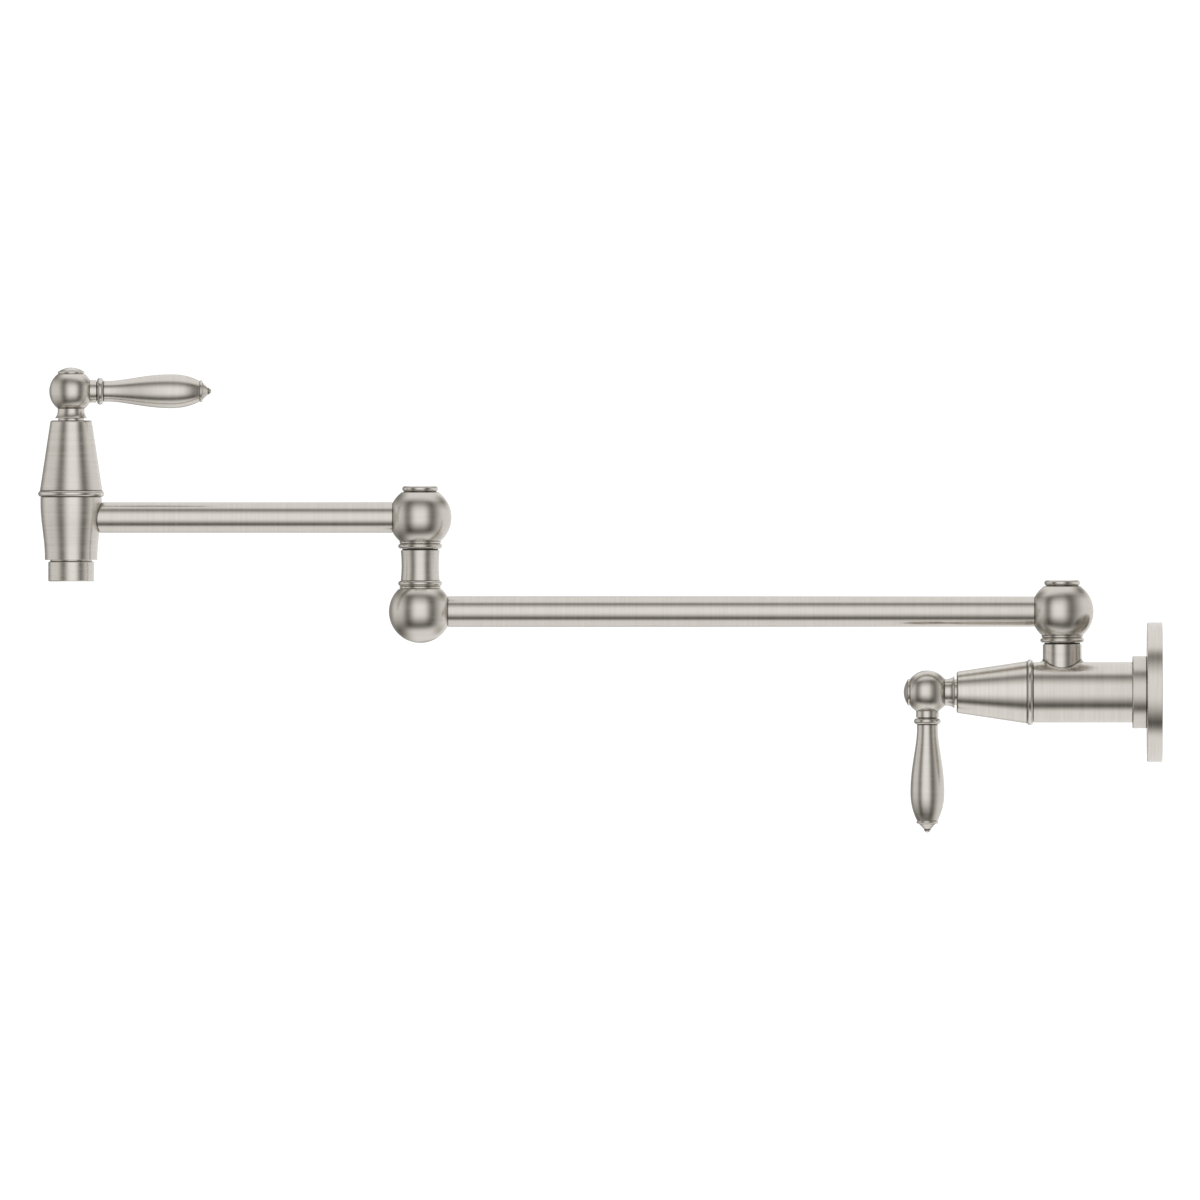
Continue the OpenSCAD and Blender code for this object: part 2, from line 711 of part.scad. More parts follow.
module cartridge_body() {
    color(brass) difference() {
        rotate_extrude() difference() {
            union() {
                band(0, barrel_d / 2, seal_proud, chamber_top_z);
                band(0, cartridge_d / 2, chamber_top_z, flange_z);
                band(0, cartridge_flange_d / 2, flange_z, hex_z);
                band(0, sleeve_d / 2, hex_z, sleeve_top_z);
            }
            bore(seal_d / 2 + fit_gap, 0, fixed_disc_z);
            bore(disc_d / 2 + fit_gap, fixed_disc_z - over, driver_z);
            bore(thrust_d / 2 + 2 * fit_gap, driver_z - over, thrust_top_z);
            bore(stem_d / 2 + fit_gap, thrust_top_z - over, sleeve_top_z + over);
            band(cartridge_d / 2 - small_groove_depth, barrel_d, cartridge_ring_z,
                cartridge_ring_z + groove_w);
        }
        translate([-window_w / 2, -barrel_d, window_z]) cube([window_w, 2 * barrel_d, window_h]);
    }
    color(brass) difference() {
        translate([0, 0, hex_z]) cylinder(d = cartridge_hex / cos(30), h = cartridge_hex_h, $fn = 6);
        translate([0, 0, hex_z - over]) cylinder(d = sleeve_d - over, h = cartridge_hex_h + 2 * over);
    }
}

module cartridge_oring() {
    color(rubber) seal_ring(cartridge_d / 2 - small_groove_depth, cartridge_d / 2 + fit_gap,
        cartridge_ring_z + groove_w / 2);
}

module seat_seal() {
    color(rubber) rotate_extrude() band(seal_bore / 2, seal_d / 2, 0, seal_t);
}

// Two fan-shaped openings on opposite sides of a ceramic disc
module disc_ports(turn) {
    outer = disc_d / 2 - port_rim;
    inner = outer - port_reach;
    for (side = [0, 180]) {
        rotate(side + turn) intersection() {
            difference() {
                circle(outer);
                circle(inner);
            }
            polygon([[0, 0], [2 * outer, -outer], [2 * outer, outer]]);
        }
    }
}

module fixed_disc() {
    color(ceramic) translate([0, 0, fixed_disc_z]) linear_extrude(disc_t) difference() {
        circle(d = disc_d);
        disc_ports(90);
    }
}

module moving_disc() {
    color(ceramic) difference() {
        translate([0, 0, moving_disc_z]) linear_extrude(disc_t) difference() {
            circle(disc_d / 2 - fit_gap);
            disc_ports(0);
        }
        translate([-key_w / 2 - fit_gap, -disc_d, moving_disc_z + disc_t - key_depth - face_gap])
            cube([key_w + 2 * fit_gap, 2 * disc_d, key_depth + over]);
    }
}

// Outline of the stem where it turns the handle
module drive_outline(gap) {
    intersection() {
        circle(drive_d / 2 + gap);
        square(drive_flats + 2 * gap, center = true);
    }
}

module stem() {
    groove_r = stem_d / 2 - small_groove_depth;
    clip_r = drive_d / 2 - clip_groove;
    color(brass) difference() {
        union() {
            rotate_extrude() difference() {
                union() {
                    band(0, thrust_d / 2, driver_z + film_gap, driver_z + thrust_t);
                    band(0, thrust_d / 2, thrust_top_z - thrust_t, thrust_top_z - face_gap);
                    band(0, stem_d / 2, driver_z + over, sleeve_top_z);
                    band(0, drive_d / 2, sleeve_top_z, skirt_z);
                }
                for (z = stem_ring_z) band(groove_r, stem_d, z, z + groove_w);
                band(clip_r, stem_d, clip_z - fit_gap, clip_z + clip_t + fit_gap);
            }
            translate([0, 0, skirt_z - over])
                linear_extrude(stem_top_z - skirt_z + over) drive_outline(0);
            intersection() {
                translate([-key_w / 2, -thrust_d, driver_z - key_depth])
                    cube([key_w, 2 * thrust_d, key_depth + over]);
                translate([0, 0, driver_z - key_depth]) cylinder(d = thrust_d, h = 2 * key_depth);
            }
        }
        translate([0, 0, screw_end_z - end_gap])
            cylinder(r = screw_d / 2 + fit_gap, h = screw_len + end_gap);
    }
}

module stem_orings() {
    color(rubber) for (z = stem_ring_z) {
        seal_ring(stem_d / 2 - small_groove_depth, stem_d / 2 + fit_gap, z + groove_w / 2);
    }
}

module stem_clip() {
    color(steel) difference() {
        rotate_extrude()
            band(drive_d / 2 - clip_groove + fit_gap, clip_d / 2, clip_z, clip_z + clip_t);
        translate([0, -clip_mouth / 2, clip_z - over]) cube([clip_d, clip_mouth, clip_t + 2 * over]);
    }
}

// A ball on a waisted skirt, with a short neck for the lever
module lever_hub() {
    waist_r = hub_waist_d / 2;
    flare = (hub_skirt_d - hub_waist_d) / 2;
    flare_r = (hub_flare_h * hub_flare_h + flare * flare) / (2 * flare);
    color(nickel) difference() {
        union() {
            rotate_extrude() {
                ball_slice(hub_ball_d / 2, hub_z, hub_z - hub_ball_d / 2, hub_top_z);
                band(0, waist_r, skirt_z, hub_z);
                difference() {
                    band(0, waist_r + flare, skirt_z, skirt_z + hub_flare_h);
                    translate([waist_r + flare_r, skirt_z + hub_flare_h]) circle(flare_r);
                }
            }
            translate([0, 0, hub_z]) rotate([0, 90, 0]) cylinder(d = lever_neck_d, h = lever_neck_end);
        }
        translate([0, 0, skirt_z - over]) linear_extrude(drive_bore_top_z - skirt_z + over)
            drive_outline(fit_gap);
        rotate_extrude() {
            band(0, screw_d / 2 + 2 * fit_gap, hub_z, screw_seat_z + over);
            band(0, screw_head_d / 2 + screw_head_gap, screw_seat_z, hub_top_z + over);
            band(0, hub_plug_d / 2 + fit_gap, hub_plug_z - face_gap, hub_top_z + over);
        }
        translate([lever_neck_end - lever_stud_len - end_gap, 0, hub_z]) rotate([0, 90, 0])
            cylinder(r = lever_stud_d / 2 + fit_gap, h = lever_stud_len + over);
    }
}

module hub_cap() {
    dome_z = hub_top_z + hub_cap_rim;
    dome_half = (hub_cap_d - hub_cap_rim) / 2;
    dome_r = (dome_half * dome_half + hub_dome_h * hub_dome_h) / (2 * hub_dome_h);
    color(nickel) rotate_extrude() difference() {
        union() {
            bead(hub_cap_d / 2, hub_top_z, dome_z);
            ball_slice(dome_r, dome_z + hub_dome_h - dome_r, dome_z - lap, dome_z + hub_dome_h);
            band(0, hub_plug_d / 2, hub_plug_z, hub_top_z + hub_cap_rim / 2);
        }
        bore(hub_plug_d / 2 - hub_plug_wall, hub_plug_z - over, hub_top_z);
    }
}

module handle_screw() {
    color(steel) difference() {
        union() {
            translate([0, 0, screw_end_z]) cylinder(d = screw_d, h = screw_len);
            translate([0, 0, screw_seat_z]) cylinder(d = screw_head_d, h = screw_head_h);
        }
        translate([0, 0, screw_seat_z + screw_head_h / 3])
            cylinder(d = screw_socket / cos(30), h = screw_head_h, $fn = 6);
    }
}

// The lever swells from its waist to its belly and closes again towards the finial
lever_start = lever_neck_end + lever_reveal;
lever_waist_x = lever_start + lever_bead_w + lever_waist_len;
lever_belly_x = lever_end - lever_nose_len;
lever_swell = (lever_belly_d - lever_waist_d) / 2;
function swell_r(t) = lever_waist_d / 2 + lever_swell * pow(sin(90 * pow(t, lever_swell_power)), 2);
function nose_r(t) = lever_belly_d / 2 - lever_swell * pow(t, lever_nose_power);

module lever() {
    steps = profile_steps;
    stud_r = lever_stud_d / 2;
    color(nickel) translate([0, 0, hub_z]) rotate([0, 90, 0]) difference() {
        rotate_extrude() {
            band(0, stud_r, lever_neck_end - lever_stud_len, lever_neck_end);
            band(0, lever_recess_d / 2, lever_neck_end, lever_start + over);
            bead(lever_bead_d / 2, lever_start, lever_start + lever_bead_w);
            polygon(concat(
                [[0, lever_start + over], [lever_waist_d / 2, lever_start + over]],
                [for (i = [0 : steps]) [swell_r(i / steps),
                    lever_waist_x + (lever_belly_x - lever_waist_x) * i / steps]],
                [for (i = [1 : steps]) [nose_r(i / steps), lever_belly_x + lever_nose_len * i / steps]],
                [[0, lever_end]]
            ));
        }
        translate([0, 0, lever_end - finial_stud_len - end_gap])
            cylinder(r = finial_stud_d / 2 + fit_gap, h = finial_stud_len + over);
    }
}

module lever_finial() {
    disc_end = lever_end + finial_disc_t;
    cone_end = disc_end + finial_cone_len;
    knob_r = finial_knob_d / 2;
    knob_end = cone_end + finial_knob_len;
    color(nickel) translate([0, 0, hub_z]) rotate([0, 90, 0]) rotate_extrude() {
        band(0, finial_stud_d / 2, lever_end - finial_stud_len, lever_end);
        bead(finial_d / 2, lever_end, disc_end);
        polygon([[0, disc_end - lap], [finial_cone_d / 2, disc_end - lap], [finial_cone_d / 2, disc_end],
            [knob_r, cone_end], [0, cone_end]]);
        ball_slice(knob_r, knob_end - knob_r, cone_end, knob_end);
        band(0, knob_r, cone_end - lap, knob_end - knob_r);
    }
}

// Swivel, drawn in the swivel's own frame

module swivel_ring() {
    color(black_plastic) rotate_extrude()
        band(journal_d / 2 + fit_gap, ball_bead_d / 2 - glide_recess, 0, swivel_reveal - face_gap);
}

module swivel_spindle() {
    journal_r = journal_d / 2;
    color(brass) difference() {
        rotate_extrude() difference() {
            union() {
                band(0, journal_r, -foot_len, chamber_low_z);
                band(0, spindle_waist_d / 2, chamber_low_z, chamber_high_z);
                band(0, journal_r, chamber_high_z, washer_z);
                band(0, tip_d / 2, washer_z, tip_top_z);
            }
            bore(spindle_bore / 2, -foot_len - over, chamber_high_z - over);
            for (z = swivel_groove_z) band(journal_r - groove_depth, journal_d, z, z + groove_w);
        }
        for (turn = [0, 90]) {
            translate([0, 0, ball_rise]) rotate([90, 0, turn])
                cylinder(d = port_d, h = journal_d, center = true);
        }
    }
}

module swivel_orings() {
    color(rubber) for (z = swivel_groove_z) {
        seal_ring(journal_d / 2 - groove_depth, journal_d / 2 + fit_gap, z + groove_w / 2);
    }
}

module swivel_washer() {
    color(steel) rotate_extrude() band(tip_d / 2 + fit_gap, washer_d / 2, washer_z, nut_z);
}

module swivel_nut() {
    color(brass) translate([0, 0, nut_z]) difference() {
        cylinder(d = nut_flats / cos(30), h = nut_h, $fn = 6);
        translate([0, 0, -over]) cylinder(r = tip_d / 2 + fit_gap, h = nut_h + 2 * over);
    }
}

// The socket that a tube is brazed into, from a start radius outwards, and the passage behind it
module tube_socket(start_r, side) {
    rotate([0, 90 * side, 0]) {
        cylinder(d = tube_bore, h = start_r + over);
        translate([0, 0, start_r]) cylinder(r = tube_d / 2 + fit_gap, h = ball_d);
    }
}

module swivel_ball() {
    ball_r = ball_d / 2;
    ring_z = bead_z + ball_bead_h;
    color(nickel) difference() {
        rotate_extrude() difference() {
            union() {
                ball_slice(ball_r, ball_rise, ring_z, ball_top_z);
                bead(ball_bead_d / 2, bead_z, ring_z);
                bead(ball_ring_d / 2, ring_z, ring_z + ball_ring_h);
            }
            bore(journal_d / 2 + fit_gap, 0, ball_top_z);
            bore(ball_chamber_d / 2, chamber_low_z, chamber_high_z);
            bore(ball_recess_d / 2, ledge_z, ball_top_z + over);
        }
        translate([0, 0, ball_rise]) tube_socket(ball_socket_r, -1);
    }
}

module swivel_cap() {
    rim_r = ball_recess_d / 2 - fit_gap;
    cap_top_z = ball_top_z + ball_cap_h;
    color(nickel) rotate_extrude() difference() {
        union() {
            bead(ball_cap_d / 2, ball_top_z + ball_cap_foot_h, cap_top_z);
            band(0, ball_cap_d / 2 - ball_cap_foot_in, ball_top_z, (ball_top_z + cap_top_z) / 2);
            band(0, rim_r, cap_rim_z, ball_top_z + ball_cap_foot_h);
        }
        bore(rim_r - cap_rim_t, cap_rim_z - over, tip_top_z + cover_gap);
    }
}

// Arms

module elbow_lower_ball() {
    ball_r = ball_d / 2;
    color(nickel) translate([elbow_x, 0, lower_arm_z]) difference() {
        rotate_extrude() difference() {
            ball_slice(ball_r, 0, -ball_r, elbow_seat);
            bore(ball_chamber_d / 2, -ball_chamber_h / 2, ball_chamber_h / 2);
            bore(spigot_d / 2 + fit_gap, elbow_seat - spigot_len - face_gap, elbow_seat + over);
            bore(neck_bore / 2, 0, elbow_seat);
        }
        tube_socket(ball_socket_r, 1);
    }
}

// The neck of the elbow is turned in one piece: spigot, ring, bead and waisted shaft
module elbow_neck() {
    r = neck_d / 2;
    waist_z = elbow_ring_h + elbow_bead_h;
    half = elbow_waist_len / 2;
    curve_r = (half * half + elbow_waist_in * elbow_waist_in) / (2 * elbow_waist_in);
    color(nickel) translate([elbow_x, 0, elbow_neck_z]) rotate_extrude() difference() {
        union() {
            band(0, spigot_d / 2, -spigot_len, 0);
            bead(ball_ring_d / 2, 0, elbow_ring_h);
            bead(ball_bead_d / 2, elbow_ring_h, waist_z);
            difference() {
                band(0, r, waist_z, elbow_neck_h);
                translate([r - elbow_waist_in + curve_r, waist_z + half]) circle(curve_r);
            }
        }
        bore(neck_bore / 2, -spigot_len - over, elbow_neck_h);
        bore(journal_d / 2 + fit_gap, elbow_neck_h - foot_len, elbow_neck_h + over);
    }
}

// A tube that runs along -X from one point to another
module arm_tube(from_x, to_x, z) {
    color(nickel) translate([to_x, 0, z]) rotate([0, 90, 0]) difference() {
        cylinder(d = tube_d, h = from_x - to_x);
        translate([0, 0, -over]) cylinder(d = tube_bore, h = from_x - to_x + 2 * over);
    }
}

module lower_arm_tube() {
    arm_tube(swivel_x - ball_socket_r, elbow_x + ball_socket_r, lower_arm_z);
}

module upper_arm_tube() {
    arm_tube(elbow_x - ball_socket_r, spout_x + spout_socket_r, upper_arm_z);
}

// Spout

// The barrel narrows in a soft S from its top to its foot
function barrel_r(t) = (spout_foot_d + (spout_top_d - spout_foot_d) * (1 - cos(180 * t)) / 2) / 2;

module spout_body() {
    steps = profile_steps;
    curve_h = spout_len - spout_foot_land - spout_top_land;
    shoulder = aerator_thread_len + aerator_washer_t;
    seat_h = spout_len - seat_depth;
    color(nickel) translate([spout_x, 0, spout_foot_z]) difference() {
        rotate_extrude() difference() {
            union() {
                polygon(concat(
                    [[0, 0]],
                    [for (i = [0 : steps]) [barrel_r(i / steps), spout_foot_land + curve_h * i / steps]],
                    [[spout_top_d / 2, spout_len], [0, spout_len]]
                ));
                band(0, barrel_r(0), 0, spout_foot_land);
                band(0, bonnet_thread_d / 2, spout_len - over, spout_len + bonnet_thread_len);
            }
            bore(aerator_thread_d / 2 + fit_gap, -over, shoulder);
            bore(outlet_d / 2, 0, seat_h + over);
            bore(chamber_d / 2, seat_h, seat_h + chamber_top_z);
            bore(cartridge_d / 2 + fit_gap, seat_h + chamber_top_z - over,
                spout_len + bonnet_thread_len + over);
        }
        translate([0, 0, spout_tube_h]) tube_socket(spout_socket_r, 1);
    }
}

// Heights in the aerator, measured down from the barrel's foot
aerator_top = -aerator_reveal;
insert_z = aerator_top - aerator_len + aerator_lip;
insert_r = aerator_thread_d / 2 - aerator_wall - fit_gap;
insert_top = aerator_thread_len - insert_drop;

module aerator_housing() {
    color(nickel) translate([spout_x, 0, spout_foot_z]) rotate_extrude() difference() {
        union() {
            bevelled_disc(aerator_d / 2, aerator_top - aerator_len, aerator_top, aerator_bevel);
            band(0, aerator_thread_d / 2, aerator_top - over, aerator_thread_len);
        }
        bore(aerator_mouth_d / 2, aerator_top - aerator_len - over, insert_z + over);
        bore(insert_r + fit_gap, insert_z, aerator_thread_len + over);
    }
}

module aerator_insert() {
    pitch = cell_w + cell_web;
    color(plastic) translate([spout_x, 0, spout_foot_z]) difference() {
        rotate_extrude() difference() {
            band(0, insert_r, insert_z, insert_top);
            bore(insert_r - insert_wall, insert_z + comb_t, insert_top + over);
        }
        for (row = [-comb_rings : comb_rings], cell = [0 : 2 * comb_rings - abs(row)]) {
            side = (cell - comb_rings + abs(row) / 2) * pitch;
            translate([side, row * pitch * cos(30), insert_z - over])
                rotate(30) cylinder(d = cell_w / cos(30), h = comb_t + 2 * over, $fn = 6);
        }
    }
}

module aerator_screen() {
    color(steel) translate([spout_x, 0, spout_foot_z + insert_top]) linear_extrude(screen_t)
        difference() {
            circle(insert_r);
            for (ring = [1 : screen_rings], i = [0 : 6 * ring - 1]) {
                rotate(i * 60 / ring) translate([ring * insert_r / (screen_rings + 1), 0])
                    circle(d = screen_hole_d);
            }
        }
}

module aerator_washer() {
    outer = aerator_thread_d / 2 - fit_gap;
    color(rubber) translate([spout_x, 0, spout_foot_z + aerator_thread_len]) rotate_extrude()
        band(aerator_washer_bore / 2, outer, 0, aerator_washer_t);
}

wall_flange();
flange_gasket();
mounting_bracket();
flange_collar();
collar_set_screw();
valve_body();
at_wall_valve() bonnet();  // wall_bonnet
at_wall_valve() stem_bush();  // wall_stem_bush
at_wall_valve() cartridge_body();  // wall_cartridge_body
at_wall_valve() cartridge_oring();  // wall_cartridge_oring
at_wall_valve() seat_seal();  // wall_seat_seal
at_wall_valve() fixed_disc();  // wall_fixed_disc
at_wall_valve() moving_disc();  // wall_moving_disc
at_wall_valve() stem();  // wall_stem
at_wall_valve() stem_orings();  // wall_stem_orings
at_wall_valve() stem_clip();  // wall_stem_clip
at_wall_valve() lever_hub();  // wall_lever_hub
at_wall_valve() hub_cap();  // wall_hub_cap
at_wall_valve() handle_screw();  // wall_handle_screw
at_wall_valve() lever();  // wall_lever
at_wall_valve() lever_finial();  // wall_lever_finial
at_wall_swivel() swivel_ring();  // wall_swivel_ring
at_wall_swivel() swivel_spindle();  // wall_swivel_spindle
at_wall_swivel() swivel_orings();  // wall_swivel_orings
at_wall_swivel() swivel_washer();  // wall_swivel_washer
at_wall_swivel() swivel_nut();  // wall_swivel_nut
at_wall_swivel() swivel_ball();  // wall_swivel_ball
at_wall_swivel() swivel_cap();  // wall_swivel_cap
lower_arm_tube();
elbow_lower_ball();
elbow_neck();
at_elbow_swivel() swivel_ring();  // elbow_swivel_ring
at_elbow_swivel() swivel_spindle();  // elbow_swivel_spindle
at_elbow_swivel() swivel_orings();  // elbow_swivel_orings
at_elbow_swivel() swivel_washer();  // elbow_swivel_washer
at_elbow_swivel() swivel_nut();  // elbow_swivel_nut
at_elbow_swivel() swivel_ball();  // elbow_swivel_ball
at_elbow_swivel() swivel_cap();  // elbow_swivel_cap
upper_arm_tube();
spout_body();
aerator_housing();
aerator_insert();
aerator_screen();
aerator_washer();
at_spout_valve() bonnet();  // spout_bonnet
at_spout_valve() stem_bush();  // spout_stem_bush
at_spout_valve() cartridge_body();  // spout_cartridge_body
at_spout_valve() cartridge_oring();  // spout_cartridge_oring
at_spout_valve() seat_seal();  // spout_seat_seal
at_spout_valve() fixed_disc();  // spout_fixed_disc
at_spout_valve() moving_disc();  // spout_moving_disc
at_spout_valve() stem();  // spout_stem
at_spout_valve() stem_orings();  // spout_stem_orings
at_spout_valve() stem_clip();  // spout_stem_clip
at_spout_valve() lever_hub();  // spout_lever_hub
at_spout_valve() hub_cap();  // spout_hub_cap
at_spout_valve() handle_screw();  // spout_handle_screw
at_spout_valve() lever();  // spout_lever
at_spout_valve() lever_finial();  // spout_lever_finial
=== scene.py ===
"""Looks of a wall-mounted pot filler in brushed nickel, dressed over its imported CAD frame.

Every visible metal piece is a turned surface worked out with numpy: a half section carried round
an axis. What can't be turned is a saddle between two cylinders, a tube whose ends follow what
they run into, and a pipe thread. Sizes are in millimetres until a mesh is made.
"""

import logging
import math
from dataclasses import dataclass, field, replace
from enum import Enum
from typing import ClassVar

import bpy
import numpy as np
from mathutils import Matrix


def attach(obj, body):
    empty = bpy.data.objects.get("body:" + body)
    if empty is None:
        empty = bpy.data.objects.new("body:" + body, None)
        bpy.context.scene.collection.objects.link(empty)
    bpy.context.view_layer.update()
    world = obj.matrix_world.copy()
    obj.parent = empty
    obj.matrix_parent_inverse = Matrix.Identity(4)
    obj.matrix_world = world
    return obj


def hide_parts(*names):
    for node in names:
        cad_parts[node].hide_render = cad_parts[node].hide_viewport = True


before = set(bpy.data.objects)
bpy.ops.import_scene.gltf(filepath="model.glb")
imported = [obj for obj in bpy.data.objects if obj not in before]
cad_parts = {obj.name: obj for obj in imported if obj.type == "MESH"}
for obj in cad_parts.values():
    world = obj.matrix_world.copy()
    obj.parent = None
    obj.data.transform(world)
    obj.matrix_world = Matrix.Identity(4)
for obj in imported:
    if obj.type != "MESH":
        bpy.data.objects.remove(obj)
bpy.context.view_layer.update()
MM = 0.001
CLOSE = 1e-6  # points nearer than this are one
SHARP = math.radians(20)  # a smaller bend belongs to a smooth curve
FOLD = 2.6  # a corner that bends further, in radians, is rounded as if it bent by this
ARC_STEP = math.radians(4)  # longest step along an arc
POLISHED = 0.8  # how worn a bead is, where 1 is a sharp worn edge and -1 a groove painted with shade
RELIEF, RELIEF_H = 0.5, 0.25  # depth and width of the relief beside a parting line
WALL_X, ELBOW_X, SPOUT_X = -54.0, -400.7, -589.2  # where the upright axes stand
LOWER_Z, UPPER_Z = 43.55, 94.35  # axes of the two tubes
SPOUT_FOOT = 71.45  # foot of the spout barrel
Array = np.ndarray
Spot = tuple[float, float]
Point = tuple[float, float, float]
Tree = bpy.types.NodeTree
Socket = bpy.types.NodeSocket
log = logging.getLogger("pot_filler")


class Slot(Enum):
    """The record's material slots."""

    NICKEL = "brushed_nickel"
    BRASS = "turned_brass"
    STEEL = "plain_steel"
    RUBBER = "seal_rubber"
    CERAMIC = "disc_ceramic"
    PLASTIC = "moulded_plastic"
    GLIDE = "glide_plastic"


class Body(Enum):
    """The bodies of the frame that the pieces ride on."""

    WALL = "wall_body"
    WALL_HANDLE = "wall_handle"
    LOWER_ARM = "lower_arm"
    UPPER_ARM = "upper_arm"
    SPOUT_HANDLE = "spout_handle"


# Geometry


def unit(vectors: Array) -> Array:
    """The same directions with a length of 1."""
    return vectors / np.maximum(np.linalg.norm(vectors, axis=-1, keepdims=True), 1e-12)


def angles(steps: int) -> Array:
    """Angles at even steps round a full turn."""
    return np.arange(steps) * (2 * math.pi / steps)


def sides(points: Array) -> tuple[Array, Array]:
    """The side that leads to each point of a ring, and the one that leads on."""
    return points - np.roll(points, 1, 0), np.roll(points, -1, 0) - points


def fresh(points: Array) -> Array:
    """Tells of each point if it lies away from the one before it."""
    return np.linalg.norm(np.diff(points, axis=0, prepend=points[:1] + 1), axis=1) > CLOSE


@dataclass(frozen=True)
class Axis:
    """A turning axis: where height 0 lies, which way heights grow and where angle 0 points."""

    origin: Point = (0.0, 0.0, 0.0)
    along: Point = (0.0, 0.0, 1.0)
    start: Point = (0.0, 1.0, 0.0)

    def turn(self, local: Array) -> Array:
        """Turns local directions into the object's frame: x*start + y*(along x start) + z*along."""
        return local @ np.stack([self.start, np.cross(self.along, self.start), self.along])

    def place(self, local: Array) -> Array:
        """Turns local points into the object's frame and moves them to the origin."""
        return self.turn(local) + self.origin

    def shifted(self, rise: float) -> "Axis":
        """The same axis with its height 0 moved along itself."""
        return replace(self, origin=tuple(np.array(self.origin) + rise * np.array(self.along)))


